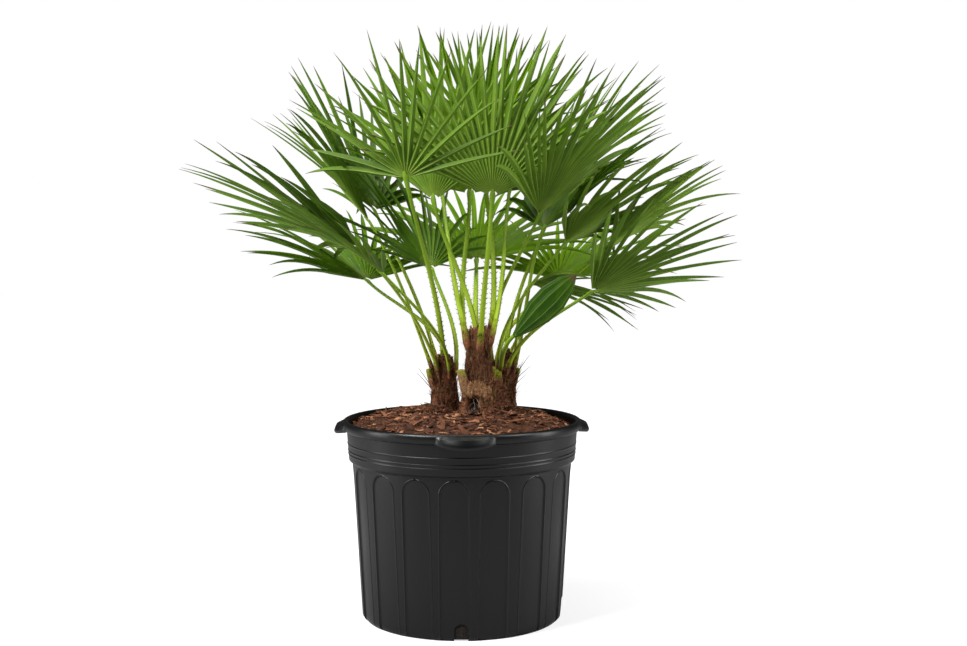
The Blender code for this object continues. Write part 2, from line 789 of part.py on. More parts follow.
def nudges():
    """Small moves to try, the smallest first: across, depth, height, turn and roll."""
    steps = (0, 1, -1, 2, -2, 3, -3)
    moves = [(a, d, h, t, r) for a in (0, 1, -1) for d in steps for h in (0, 1) for t in steps for r in steps]
    moves.sort(key=lambda m: 4 * m[0] ** 2 + 1.2 * m[1] ** 2 + 2 * m[2] ** 2 + m[3] ** 2 + m[4] ** 2)
    for across, depth, height, turn, roll in moves:
        yield np.array((across, depth, height)) * NUDGE, NUDGE_TURN * turn, NUDGE_ROLL * roll


def settle_fans(fronds, young):
    """Shift each frond by the smallest nudge that clears the ones before it."""
    placed = []
    columns = {name: tree(stem_block(stem)) for name, stem in STEMS.items()}
    for frond in fronds:
        start = frond.hub.copy()
        heading, roll = frond.heading, frond.roll
        others = placed + [young] + [c for name, c in columns.items() if name != frond.stem_name]
        fewest = None
        for shift, turn, tilt in nudges():
            frond.hub = start + shift
            frond.heading = heading + turn
            frond.roll = roll + tilt
            frond.aim()
            shell = tree(frond.hard_shell())
            hits = [k + 1 for k, other in enumerate(others) if shell.overlap(other)]
            if fewest is None or len(hits) < len(fewest[0]):
                fewest = (hits, frond.hub, frond.heading, frond.roll, shell)
            if not hits:
                break
        hits, frond.hub, frond.heading, frond.roll, shell = fewest
        frond.aim()
        placed.append(shell)
        print(frond.name, "moved", np.round(frond.hub - start, 3), "turned", round(frond.heading - heading),
              "rolled", round(frond.roll - roll), "still touches" if hits else "", hits or "")
    return placed


def bend_options():
    """Bends to try, the smallest first: lift and sway in degrees, share of length."""
    for keep in (1.0, 0.9, 0.78, 0.64, 0.5, 0.36, 0.24):
        for lift in (0, 5, -5, 10, -10, 16, -16, 22, -22):
            for sway in (0, 3, -3):
                yield lift, sway, keep


def settle_blades(fronds, shells, columns):
    """Bend or shorten each free blade until it clears every other piece."""
    placed = []
    short = 0
    for n, frond in enumerate(fronds):
        fixed = [s for k, s in enumerate(shells) if k != n] + columns
        own = []
        for i in range(frond.blades):
            for bend in bend_options():
                shell = tree(frond.blade_shell(i, bend))
                if any(shell.overlap(other) for other in own[-2:] if other):
                    continue
                if any(shell.overlap(other) for other in fixed + placed):
                    continue
                break
            else:
                print("blade", i, "of", frond.name, "ends at the split")
                bend = (0, 0, 0)
                shell = None
            frond.bends[i] = bend
            short += bend[2] < 0.7
            own.append(shell)
        solids = [frond.blade_shell(i, frond.bends[i]) for i in range(frond.blades) if own[i]]
        placed.append(tree(combine(solids)))
    print("blades under 0.7 of their length:", short)


def make_frond(frond, green):
    obj = add_mesh(frond.name, *frond.fan(), green)
    face_out(obj)
    fuse(obj, [frond.petiole()] + frond.spines())
    keep_largest(obj)
    return obj


def stem_solid(stem, seed):
    """Fibrous stem: a column of spiralling leaf-base scales with a rounded crown."""
    rng = random.Random(seed)
    sides = STEM_SIDES
    heights = [STEM_FOOT, STEM_PLAIN, STEM_PLAIN + 0.005]
    while heights[-1] < stem["top"] - 0.016:
        heights.append(heights[-1] + SCALE_RISE / 2)
    sections = []
    for height in heights + [stem["top"] - 0.005, stem["top"]]:
        centre = stem_centre(stem, height)
        crown = max(0.0, 1 - (stem["top"] - height) / 0.010)
        ring = []
        for k in range(sides):
            angle = 2 * math.pi * k / sides
            radius = stem["radius"] * (1 - 0.35 * crown)
            if height > STEM_PLAIN:
                phase = (height - STEM_PLAIN) / SCALE_RISE + 3 * k / sides
                radius *= 0.97 + SCALE_DEPTH * (phase % 1.0) + rng.uniform(-0.02, 0.02)
            ring.append(centre + radius * np.array((math.cos(angle), math.sin(angle), 0)))
        sections.append(ring)
    return lofted(sections)


def stub(stem, azimuth, foot, length, radius):
    """Old leaf base, cut off square, that leans out of its stem."""
    out = np.array(around(1.0, azimuth, 0.0))
    root = stem_centre(stem, foot) + out * stem["radius"] * 0.72
    along = unit(UP + out * 0.30)
    side = unit(np.cross(UP, out))
    over = np.cross(along, side)
    sections = []
    for share, size in ((0.0, 0.8), (0.5, 1.0), (1.0, 0.86)):
        middle = root + along * length * share
        half = radius * size
        sections.append([middle + side * half * math.cos(t) + over * 0.7 * half * math.sin(t)
                         for t in np.linspace(0, 2 * math.pi, 8, endpoint=False)])
    return lofted(sections)


def make_stems(fronds):
    fibre = material("stem_fibre", (0.11, 0.055, 0.03), 0.95)
    for seed, (name, stem) in enumerate(STEMS.items()):
        obj = add_mesh("stem_" + name, *stem_solid(stem, seed), fibre)
        face_out(obj)
        fuse(obj, [stub(stem, *row[1:]) for row in STUBS if row[0] == name])
        sockets = [frond.petiole(6, GAP, GAP, 0.7) for frond in fronds if frond.stem_name == name]
        if name == "right":
            sockets.append(young_stalk(GAP))
        for solid in sockets:
            socket = add_mesh("socket", *solid)
            face_out(socket)
            cut(obj, socket)
        keep_largest(obj)


def young_stalk(grow=0.0):
    """Round stalk of the unopened frond, from deep in its stem to its blade."""
    line = [np.array(p) for p in (YOUNG_FOOT, YOUNG_BEND, YOUNG_BASE)]
    sections = []
    for t in np.linspace(0, 1, 6):
        point = line[0] * (1 - t) ** 2 + line[1] * 2 * t * (1 - t) + line[2] * t * t
        tangent = unit((line[1] - line[0]) * (1 - t) + (line[2] - line[1]) * t)
        side = unit(np.cross(tangent, (0, 1, 0)))
        over = np.cross(tangent, side)
        radius = YOUNG_STALK + (YOUNG_STALK_END - YOUNG_STALK) * t + grow
        sections.append([point + side * radius * math.cos(a) + over * radius * math.sin(a)
                         for a in np.linspace(0, 2 * math.pi, 6, endpoint=False)])
    return lofted(sections)


def young_blade(grow=0.0):
    """Folded, pleated blade of the unopened frond."""
    foot = np.array(YOUNG_BASE)
    tip = np.array(YOUNG_TIP)
    along = unit(tip - foot)
    side = unit(np.cross(along, (0, 1, 0)))
    over = np.cross(along, side)
    sections = []
    for share, size in ((-0.04, 0.16), (0.12, 0.50), (0.38, 0.95), (0.62, 1.0), (0.85, 0.66), (1.0, 0.12)):
        middle = foot + (tip - foot) * share
        ring = []
        for k in range(16):
            angle = 2 * math.pi * k / 16
            fold = 1.0 if k % 2 == 0 else 0.74
            wide = YOUNG_HALF_WIDTH * size * fold + grow
            ring.append(middle + side * wide * math.cos(angle) + over * 0.30 * wide * math.sin(angle))
        sections.append(ring)
    return lofted(sections)


def make_young_frond(green):
    obj = add_mesh("young_frond", *young_blade(), green)
    face_out(obj)
    fuse(obj, [young_stalk()])
    return obj


def main():
    clear_scene()
    make_pot()
    make_soil()
    make_mulch()
    fronds = [Frond(number + 1, *row) for number, row in enumerate(FRONDS)]
    seat_petioles(fronds)
    young = tree(combine([triangles(young_blade(0.002)), triangles(young_stalk(0.001))]))
    shells = settle_fans(fronds, young)
    columns = [tree(stem_block(stem)) for stem in STEMS.values()]
    settle_blades(fronds, shells, columns + [young])
    green = material("leaf_green", (0.09, 0.22, 0.035), 0.45)
    for frond in fronds:
        make_frond(frond, green)
    make_young_frond(green)
    make_stems(fronds)


main()
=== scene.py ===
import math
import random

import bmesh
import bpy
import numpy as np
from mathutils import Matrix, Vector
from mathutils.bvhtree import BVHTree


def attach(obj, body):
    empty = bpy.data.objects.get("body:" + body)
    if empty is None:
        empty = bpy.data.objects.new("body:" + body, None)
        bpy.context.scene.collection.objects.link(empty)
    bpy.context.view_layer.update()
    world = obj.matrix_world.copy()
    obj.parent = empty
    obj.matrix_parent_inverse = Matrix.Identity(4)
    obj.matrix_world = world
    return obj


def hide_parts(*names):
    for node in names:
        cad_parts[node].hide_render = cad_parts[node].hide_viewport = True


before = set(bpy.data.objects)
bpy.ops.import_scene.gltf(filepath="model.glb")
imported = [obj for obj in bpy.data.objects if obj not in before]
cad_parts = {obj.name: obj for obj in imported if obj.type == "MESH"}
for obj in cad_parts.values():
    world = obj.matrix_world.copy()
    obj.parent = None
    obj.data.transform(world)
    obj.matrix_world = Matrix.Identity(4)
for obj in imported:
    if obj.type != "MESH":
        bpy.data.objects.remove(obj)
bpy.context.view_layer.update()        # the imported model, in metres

# %% [markdown]
# ## A European fan palm in its nursery pot
# The real thing is a young palm with three fibrous stems.  Each frond is a spiny
# petiole that ends in a stiff pleated fan, and the fan splits into long blades.
# It stands in a black moulded pot under reddish bark.  The solids that were
# loaded above fix every size and place, so this script only makes finer pieces
# in the same places and gives each of them its finish.

# %% [markdown]
# ## Camera
# The photograph was taken from about 2.6 m away, a little above the crown's
# middle, with a short telephoto lens.  The camera is placed from the
# ellipses of the pot's lip and foot, so that the pot fills the same outline.

# %% The camera
PHOTO_WIDTH = 967
PHOTO_HEIGHT = 646
FOCAL_PIXELS = 1401
EYE = (0.0, -2.6, 0.718)
AXIS_COLUMN = 461.85
HORIZON_ROW = 231.5

pitch = math.atan((PHOTO_HEIGHT / 2 - HORIZON_ROW) / FOCAL_PIXELS)
yaw = math.atan((PHOTO_WIDTH / 2 - AXIS_COLUMN) / FOCAL_PIXELS * math.cos(pitch))
lens = bpy.data.cameras.new("camera")
lens.sensor_width = 36.0
lens.lens = 36.0 * FOCAL_PIXELS / PHOTO_WIDTH
camera = bpy.data.objects.new("camera", lens)
camera.location = EYE
camera.rotation_euler = (math.pi / 2 - pitch, 0, -yaw)
bpy.context.scene.collection.objects.link(camera)
bpy.context.scene.camera = camera
print("lens", round(lens.lens, 1), "mm, looking down", round(math.degrees(pitch), 1), "degrees")

# %% [markdown]
# ## Light and floor
# A product photograph of a plant is lit by big soft boxes in a white room.  A
# white world fills the background and only just lights the plant.  Two area lamps
# in front and one above make the tops of the blades bright and their undersides
# dark, and a weak one low at each side draws the edges of the black plastic.
# The standard view transform keeps the greens as strong as the camera saw them.

# %% World, lamps and floor
bpy.context.scene.view_settings.view_transform = "Standard"
world = bpy.data.worlds.new("white room")
bpy.context.scene.world = world
world.use_nodes = True
room = world.node_tree
background = room.nodes["Background"]
background.inputs["Color"].default_value = (1.0, 1.0, 1.0, 1.0)
background.inputs["Strength"].default_value = 0.065
seen = room.nodes.new("ShaderNodeBackground")
seen.inputs["Color"].default_value = (1.0, 1.0, 1.0, 1.0)
path = room.nodes.new("ShaderNodeLightPath")
mixer = room.nodes.new("ShaderNodeMixShader")
room.links.new(path.outputs["Is Camera Ray"], mixer.inputs["Fac"])
room.links.new(background.outputs["Background"], mixer.inputs[1])
room.links.new(seen.outputs["Background"], mixer.inputs[2])
room.links.new(mixer.outputs["Shader"], room.nodes["World Output"].inputs["Surface"])


def soft_box(name, place, aim, size, watts, colour=(1.0, 1.0, 1.0)):
    lamp = bpy.data.lights.new(name, "AREA")
    lamp.shape = "RECTANGLE"
    lamp.size, lamp.size_y = size
    lamp.energy = watts
    lamp.color = colour
    obj = bpy.data.objects.new(name, lamp)
    obj.location = place
    obj.rotation_euler = (Vector(aim) - Vector(place)).to_track_quat("-Z", "Y").to_euler()
    bpy.context.scene.collection.objects.link(obj)


soft_box("left", (-1.9, -1.5, 2.7), (0.0, 0.0, 0.55), (1.1, 1.2), 152)
soft_box("right", (2.2, -1.2, 2.4), (0.0, 0.0, 0.55), (1.1, 1.4), 58)
soft_box("top", (0.1, 0.5, 3.2), (0.0, 0.0, 0.5), (2.0, 1.4), 70)
soft_box("left rim", (-2.3, -0.3, 0.75), (0.0, 0.0, 0.35), (0.6, 1.3), 24)
soft_box("right rim", (2.3, -0.3, 0.75), (0.0, 0.0, 0.35), (0.6, 1.3), 24)

# The floor is a wide pale disc.
bpy.ops.mesh.primitive_circle_add(vertices=96, radius=14.0, fill_type="NGON")
floor = bpy.context.object
floor.name = "floor"

# %% [markdown]
# ## Shader maths as plain sums
# A finish is a sum of masks and colours.  Written with nodes alone, such a sum
# is hard to read, so one small class wraps a socket: `a * 0.5 + b` adds the
# Math nodes, and `mix` blends two colours.  Every other node comes from `node`.

# %% A socket that can be added and multiplied
class Value:
    """Output socket of a node tree, with the operators that the finishes use."""

    def __init__(self, tree, socket):
        self.tree = tree
        self.socket = socket

    def maths(self, operation, *terms):
        made = self.tree.nodes.new("ShaderNodeMath")
        made.operation = operation
        for slot, term in zip(made.inputs, terms):
            if isinstance(term, Value):
                self.tree.links.new(term.socket, slot)
            else:
                slot.default_value = term
        return Value(self.tree, made.outputs[0])

    def __add__(self, other):
        return self.maths("ADD", self, other)

    def __sub__(self, other):
        return self.maths("SUBTRACT", self, other)

    def __rsub__(self, other):
        return self.maths("SUBTRACT", other, self)

    def __mul__(self, other):
        return self.maths("MULTIPLY", self, other)

    def __pow__(self, other):
        return self.maths("POWER", self, other)

    def over(self, edge, width):
        """0 below the edge and 1 above it, with a soft step this wide."""
        scaled = (self - (edge - width / 2)) * (1 / width)
        scaled = scaled.maths("MAXIMUM", scaled, 0.0)
        return scaled.maths("MINIMUM", scaled, 1.0)

    def size(self):
        return self.maths("ABSOLUTE", self)

    def wave(self):
        """Sine, from 0 to 1."""
        return self.maths("SINE", self) * 0.5 + 0.5

    __radd__ = __add__
    __rmul__ = __mul__


print("sockets can be summed")

# %% A finish: one material and the nodes behind it
class Finish:
    """Material whose Principled shader is fed by sums of masks and colours."""

    def __init__(self, name, **constants):
        self.material = bpy.data.materials.new(name)
        self.material.use_nodes = True
        self.tree = self.material.node_tree
        self.shader = self.tree.nodes["Principled BSDF"]
        for socket, value in constants.items():
            self.shader.inputs[socket.replace("_", " ")].default_value = value

    def node(self, kind, settings=None, output=0, **inputs):
        """Any node: its settings first, then the values or links of its sockets."""
        made = self.tree.nodes.new(kind)
        for name, value in (settings or {}).items():
            setattr(made, name, value)
        for name, value in inputs.items():
            slot = made.inputs[int(name[1:])] if name[0] == "_" else made.inputs[name.replace("_", " ")]
            if isinstance(value, Value):
                self.tree.links.new(value.socket, slot)
            else:
                slot.default_value = value
        return Value(self.tree, made.outputs[output])

    def place(self):
        """Position on the piece, in metres."""
        return self.node("ShaderNodeTexCoord", output=3)

    def number(self, name):
        """A number that the mesh carries at each of its points."""
        return self.node("ShaderNodeAttribute", {"attribute_name": name}, output=2)

    def noise(self, scale, detail=3.0, rough=0.55, at=None):
        return self.node("ShaderNodeTexNoise", _0=at or self.place(), Scale=scale,
                         Detail=detail, Roughness=rough)

    def stretched(self, along):
        """Position squeezed along each axis, for grain."""
        return self.node("ShaderNodeMapping", _0=self.place(), Scale=along)

    def mix(self, share, low, high):
        """Blend of two colours by a mask."""
        colours = {"_6": low, "_7": high}
        for key, value in colours.items():
            colours[key] = value if isinstance(value, Value) else (*value, 1.0)
        return self.node("ShaderNodeMix", {"data_type": "RGBA"}, output=2, _0=share, **colours)

    def bump(self, height, strength, distance):
        return self.node("ShaderNodeBump", Height=height, Strength=strength, Distance=distance)

    def feed(self, **sockets):
        for name, value in sockets.items():
            self.tree.links.new(value.socket, self.shader.inputs[name.replace("_", " ")])
        return self.material

    def thin(self, colour, share):
        """Let a share of the light through, as a leaf does."""
        through = self.node("ShaderNodeBsdfTranslucent", Color=(*colour, 1.0))
        whole = Value(self.tree, self.shader.outputs[0])
        mixed = self.node("ShaderNodeMixShader", _0=share, _1=whole, _2=through)
        self.tree.links.new(mixed.socket, self.tree.nodes["Material Output"].inputs["Surface"])
        return self.material


print("finishes can be mixed")

# %% [markdown]
# ## Meshes from rings of points
# Every piece here is made of rings or rows of points that follow a rule, so two
# helpers are enough: one joins rings into a closed tube, and one gathers many
# such shapes into a single mesh.  The mesh also carries a few numbers at each
# point, such as how far along its blade the point lies, which the finish reads.

# %% Helpers that make meshes
UP = np.array((0.0, 0.0, 1.0))


def unit(vector):
    vector = np.asarray(vector, float)
    return vector / np.linalg.norm(vector)


class Shape:
    """Points, faces and the numbers that the points carry."""

    def __init__(self, *numbers):
        self.points = []
        self.faces = []
        self.slots = []
        self.numbers = {name: [] for name in numbers}

    def point(self, place, *values):
        self.points.append(tuple(float(v) for v in place))
        for store, value in zip(self.numbers.values(), values):
            store.append(float(value))
        return len(self.points) - 1

    def face(self, *corners, slot=0):
        self.faces.append(corners)
        self.slots.append(slot)

    def tube(self, rings, values=None, slot=0, closed=True):
        """Skin over rings of equally many points, with flat ends."""
        rows = []
        for k, ring in enumerate(rings):
            carried = values[k] if values else ()
            each = carried if isinstance(carried, list) else [carried] * len(ring)
            rows.append([self.point(p, *numbers) for p, numbers in zip(ring, each)])
        sides = len(rows[0])
        for low, high in zip(rows, rows[1:]):
            for k in range(sides):
                n = (k + 1) % sides
                self.face(low[k], low[n], high[n], high[k], slot=slot)
        if closed:
            self.face(*reversed(rows[0]), slot=slot)
            self.face(*rows[-1], slot=slot)
        return rows

    def piece(self, name, *materials, crease=None, weld=0.0):
        """The object, riding on the root body, shaded smooth up to a crease angle."""
        mesh = bpy.data.meshes.new(name)
        mesh.from_pydata(self.points, [], self.faces)
        for slot, material in enumerate(materials):
            mesh.materials.append(material)
        mesh.polygons.foreach_set("material_index", self.slots)
        for number, values in self.numbers.items():
            mesh.attributes.new(number, "FLOAT", "POINT").data.foreach_set("value", values)
        work = bmesh.new()
        work.from_mesh(mesh)
        if weld:
            bmesh.ops.remove_doubles(work, verts=work.verts, dist=weld)
        bmesh.ops.recalc_face_normals(work, faces=work.faces)
        work.to_mesh(mesh)
        work.free()
        mesh.shade_smooth()
        if crease:
            mesh.set_sharp_from_angle(angle=math.radians(crease))
        obj = bpy.data.objects.new(name, mesh)
        bpy.context.scene.collection.objects.link(obj)
        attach(obj, "root")
        count = sum(len(face) - 2 for face in self.faces)
        print(f"{name}: {len(mesh.vertices)} points, {count} triangles")
        return obj


def circle(centre, side, over, wide, high, sides):
    """Ring of points round a centre, in the plane of two directions."""
    turns = np.linspace(0, 2 * math.pi, sides, endpoint=False)
    return [centre + side * wide * math.cos(t) + over * high * math.sin(t) for t in turns]


def strand(shape, points, radius, values, slot=0):
    """Thin three-sided thread through points, which tapers to its end."""
    rings = []
    for k, point in enumerate(points):
        along = unit(points[min(k + 1, len(points) - 1)] - points[max(k - 1, 0)])
        side = unit(np.cross(along, UP + 0.01))
        share = k / (len(points) - 1)
        rings.append(circle(point, side, np.cross(along, side), *[radius * (1 - 0.75 * share)] * 2, 3))
    shape.tube(rings, [values] * len(rings), slot)


print("shapes can be gathered")

# %% [markdown]
# ## The pot's walls
# The real pot is blow moulded in black polyethylene.  It is turned, with a
# straight tapering body, a stepped band with three fine ridges and a rolled lip.
# Seventeen shallow arches are pressed into the body.  Cutting them out with
# Booleans would leave ragged shading, so each arch gets its own strip of rows
# that follow its outline: the bevel then runs round the arch without a break.

# %% The pot's sizes
POT_HEIGHT = 0.370
WALL = 0.0035
BASE_RADIUS = 0.1815
FOOT_RADIUS = 0.1875
FOOT_HEIGHT = 0.012
BODY_TOP_RADIUS = 0.2035
BODY_TOP = 0.292
BAND_RADIUS = 0.2105
BAND_BOTTOM = 0.297
BAND_TOP_RADIUS = 0.2146
LIP_BOTTOM = 0.352
LIP_RADIUS = 0.2225
RIDGE_HEIGHTS = (0.3088, 0.3153, 0.3278)
RIDGE_SIZE = 0.0008
RIDGE_HALF = 0.0016
FLUTE_FRONT = (-66.5, -44.5, -24.0, -4.0, 16.5, 39.5, 61.5)
FLUTES = 17
FLUTE_WIDTH = 0.056
FLUTE_TOP = 0.2885
FLUTE_DEPTH = 0.0022
FLUTE_BEVEL = 0.0036
GRIP_AZIMUTH = 1.6
GRIP_HALF_ANGLE = 13.9
GRIP_REACH = 0.0160
HOLE_AZIMUTH = -0.6
HOLE_WIDTH = 0.025
HOLE_HEIGHT = 0.0315
SOIL_TOP = 0.335
MULCH_EDGE = 0.355
MULCH_CROWN = 0.385


def around(radius, azimuth, height):
    """Point at an azimuth in degrees from the front, positive towards +X."""
    angle = math.radians(azimuth)
    return np.array((radius * math.sin(angle), -radius * math.cos(angle), height))


def body_radius(height):
    """Outer radius of the tapering body, which rounds in at the foot."""
    share = (height - FOOT_HEIGHT) / (BODY_TOP - FOOT_HEIGHT)
    radius = FOOT_RADIUS + (BODY_TOP_RADIUS - FOOT_RADIUS) * share
    if height < FOOT_HEIGHT:
        drop = 1 - height / FOOT_HEIGHT
        radius -= (FOOT_RADIUS - BASE_RADIUS) * drop ** 2.4
    return radius


def inner_radius(height):
    """Radius of the inner wall, which steps in under the band."""
    heights = (WALL, BODY_TOP - 0.003, BAND_BOTTOM + 0.001, LIP_BOTTOM - 0.004, POT_HEIGHT)
    radii = (body_radius(FOOT_HEIGHT) - WALL, BODY_TOP_RADIUS - WALL, BAND_RADIUS - WALL, 0.2106, 0.2118)
    return float(np.interp(height, heights, radii))


rest = FLUTES - len(FLUTE_FRONT)
flute_step = (360 - FLUTE_FRONT[-1] + FLUTE_FRONT[0]) / (rest + 1)
flutes = list(FLUTE_FRONT) + [FLUTE_FRONT[-1] + flute_step * (k + 1) for k in range(rest)]
print("arches at", [round(a, 1) for a in flutes])

# %% Rows of points across one arch and the flat beside it
FLAT_COLUMNS = 5
BEVEL_PROFILE = (0.0, -0.20, -0.30, -0.12, 0.40, 0.85, 1.0)
FLOOR_COLUMNS = 6
ARCH_ROWS = 14
half_arch = FLUTE_WIDTH / 2
spring_line = FLUTE_TOP - half_arch


def half_row(azimuth, edge, outer, inner):
    """Points from a cell's edge to the middle of its arch: (azimuth, height, depth)."""
    ease = 180 / math.pi / body_radius(outer[1])
    row = []
    for k in range(FLAT_COLUMNS):
        share = k / FLAT_COLUMNS
        row.append((edge + (azimuth + outer[0] * ease - edge) * share, outer[1], 0.0))
    for k, depth in enumerate(BEVEL_PROFILE):
        share = k / (len(BEVEL_PROFILE) - 1)
        across = outer[0] + (inner[0] - outer[0]) * share
        height = outer[1] + (inner[1] - outer[1]) * share
        row.append((azimuth + across * ease, height, depth))
    for k in range(1, FLOOR_COLUMNS):
        share = k / FLOOR_COLUMNS
        row.append((azimuth + inner[0] * (1 - share) * ease, inner[1], 1.0))
    return row


def cell_rows(azimuth, left_edge, right_edge):
    """Rows from the foot to the arch's top, each from one cell edge to the other."""
    straight = [0.0, 0.0012, 0.003, 0.006, 0.009, FOOT_HEIGHT] + list(np.linspace(0.022, spring_line, 12))
    outlines = [((half_arch, h), (half_arch - FLUTE_BEVEL, h)) for h in straight]
    for k in range(1, ARCH_ROWS + 1):
        turn = math.pi / 2 * k / ARCH_ROWS
        ring = [(size * math.cos(turn), spring_line + size * math.sin(turn))
                for size in (half_arch, half_arch - FLUTE_BEVEL)]
        outlines.append(tuple(ring))
    rows = []
    for outer, inner in outlines:
        left = half_row(azimuth, left_edge, (-outer[0], outer[1]), (-inner[0], inner[1]))
        right = half_row(azimuth, right_edge, outer, inner)
        rows.append(left + [(azimuth, inner[1], 1.0)] + right[::-1])
    return rows


def pressed(azimuth, height, depth):
    """Point on the outer wall, pressed in by a share of the arch's depth."""
    fade = min(1.0, height / 0.005)
    return around(body_radius(height) - FLUTE_DEPTH * depth * fade, azimuth, height)


print("rows per arch:", len(cell_rows(0, -10, 10)), "columns:", len(cell_rows(0, -10, 10)[0]))

# %% [markdown]
# The band, the lip and the inner wall are turned.  Their rings reuse the columns
# of the top row of arches, so the whole wall is one closed skin.  The lip is a
# squarish roll, and each ridge is a small bead.

# %% The turned part of the outline, from the arches over the lip to the floor
def beads(height):
    bead = 0.0
    for middle in RIDGE_HEIGHTS:
        off = abs(height - middle) / RIDGE_HALF
        if off < 1:
            bead += RIDGE_SIZE * (0.5 + 0.5 * math.cos(math.pi * off))
    return bead


def turned_outline():
    rings = [(body_radius(h), h) for h in (0.2893, 0.2905, BODY_TOP - 0.0006)]
    rings += [(BODY_TOP_RADIUS + 0.0005, BODY_TOP + 0.0003), (BAND_RADIUS - 0.0008, BAND_BOTTOM - 0.0008)]
    rings += [(BAND_RADIUS - 0.0001, BAND_BOTTOM)]
    for height in np.linspace(BAND_BOTTOM + 0.0012, LIP_BOTTOM - 0.0012, 66):
        share = (height - BAND_BOTTOM) / (LIP_BOTTOM - BAND_BOTTOM)
        rings.append((BAND_RADIUS + (BAND_TOP_RADIUS - BAND_RADIUS) * share + beads(height), height))
    for turn in np.radians(np.linspace(-86, 168, 24)):
        across = math.copysign(abs(math.cos(turn)) ** 0.8, math.cos(turn))
        rise = math.copysign(abs(math.sin(turn)) ** 0.8, math.sin(turn))
        rings.append((0.2165 + 0.0060 * across, 0.3610 + 0.0090 * rise))
    rings += [(0.2112, 0.3560), (0.2107, 0.3500)]
    rings += [(inner_radius(h), h) for h in (BAND_BOTTOM + 0.001, BODY_TOP - 0.003, 0.15, 0.02)]
    return rings + [(inner_radius(0.02) - 0.002, 0.008), (inner_radius(0.02) - 0.008, WALL)]


outline = turned_outline()
print("turned rings:", len(outline), "widest", round(max(r for r, _ in outline), 4), "m")

# %% The wall as one skin
def wall_shape():
    shape = Shape()
    edges = [(a + b) / 2 for a, b in zip([flutes[-1] - 360] + flutes, flutes + [flutes[0] + 360])]
    cells = [cell_rows(azimuth, edges[k], edges[k + 1]) for k, azimuth in enumerate(flutes)]
    rows = []
    for r in range(len(cells[0])):
        rows.append([shape.point(pressed(*p)) for cell in cells for p in cell[r][:-1]])
    columns = [p[0] for cell in cells for p in cell[-1][:-1]]
    for radius, height in outline:
        rows.append([shape.point(around(radius, azimuth, height)) for azimuth in columns])
    for low, high in zip(rows, rows[1:]):
        for k in range(len(low)):
            n = (k + 1) % len(low)
            shape.face(low[k], low[n], high[n], high[k])
    for row, height in ((rows[0], 0.0), (rows[-1], WALL)):
        middle = shape.point((0, 0, height))
        for k in range(len(row)):
            shape.face(row[k], row[(k + 1) % len(row)], middle)
    return shape


wall = wall_shape()
print("wall faces before the grips and holes:", len(wall.faces))

# %% [markdown]
# ## Grips and drain holes
# Four lens-shaped grips swell out of the lip, and four round-topped holes drain
# the foot.  Both have a clean edge where they meet the wall, which is what a
# Boolean is good at: the grips are fused to the wall and the holes cut through.

# %% Grips and holes
def grip_shape(azimuth):
    shape = Shape()
    rings = []
    for turn in np.linspace(-1, 1, 41):
        swell = max(0.0, math.cos(math.pi / 2 * turn)) ** 0.8
        reach = LIP_RADIUS - 0.0016 + (GRIP_REACH + 0.0012) * swell
        corners = [(0.2165, 0.3688 - 0.0006 * (1 - swell)), (0.2205, 0.3672)]
        corners += [(reach - 0.0048 * swell, 0.3640 - 0.0020 * swell),
                    (reach - 0.0018 * swell, 0.3598 - 0.0038 * swell)]
        corners += [(reach, 0.3575 - 0.0072 * swell), (reach - 0.0004 * swell, 0.3555 - 0.0082 * swell)]
        corners += [(reach - 0.0026 * swell, 0.3535 - 0.0086 * swell), (0.2185, 0.3532 - 0.0080 * swell)]
        corners += [(0.2140, 0.3540 - 0.0060 * swell)]
        place = azimuth + GRIP_HALF_ANGLE * turn
        rings.append([around(r, place, z) for r, z in corners])
    shape.tube(rings)
    return shape


def hole_shape(azimuth):
    half = HOLE_WIDTH / 2
    section = [(-half, -0.01), (half, -0.01)]
    for turn in np.linspace(0, math.pi, 21):
        section.append((half * math.cos(turn), HOLE_HEIGHT - half + half * math.sin(turn)))
    side = around(1, azimuth + 90, 0)
    out = around(1, azimuth, 0)
    shape = Shape()
    shape.tube([[out * depth + side * x + UP * z for x, z in section] for depth in (0.172, 0.200)])
    return shape


def boolean(obj, shapes, operation):
    """Fuse or cut shapes, apply the result and remove the helpers."""
    for k, shape in enumerate(shapes):
        helper = shape.piece(f"helper_{k}", weld=1e-6)
        step = obj.modifiers.new("step", "BOOLEAN")
        step.operation = operation
        step.object = helper
        graph = bpy.context.evaluated_depsgraph_get()
        mesh = bpy.data.meshes.new_from_object(obj.evaluated_get(graph))
        obj.modifiers.clear()
        obj.data = mesh
        bpy.data.objects.remove(helper)


# %% [markdown]
# ## Black plastic
# Nursery polyethylene is nearly black with a satin skin.  It is never quite
# clean: a little pale dust sits on it in blotches and scuffs, and the skin
# has a faint unevenness from the mould, which breaks up the reflections.
# Towards the foot the colour is painted paler, as a painted reflection of
# the pale floor.

# %% The plastic's finish
def black_plastic():
    finish = Finish("black_plastic", Specular_IOR_Level=0.33)
    height = finish.node("ShaderNodeSeparateXYZ", output=2, _0=finish.place())
    blotch = finish.noise(9.0, 4.0)
    scuff = finish.noise(3.0, 5.0, at=finish.stretched((30.0, 30.0, 3.0)))
    # Paler towards the foot: painted reflection of the pale floor.  The blotches and scuffs are pale dust.
    dust_and_floor_reflection = (1 - height.over(0.10, 0.26)) * 0.5 + blotch * 0.35 + scuff * 0.25
    colour = finish.mix(dust_and_floor_reflection * 0.5, (0.0009, 0.0011, 0.0012), (0.0065, 0.0070, 0.0068))
    rough = blotch * 0.10 + scuff * 0.06 + 0.27
    skin = finish.noise(210.0, 2.0) * 0.3 + finish.noise(26.0, 2.0)
    return finish.feed(Base_Color=colour, Roughness=rough, Normal=finish.bump(skin, 0.12, 0.002))


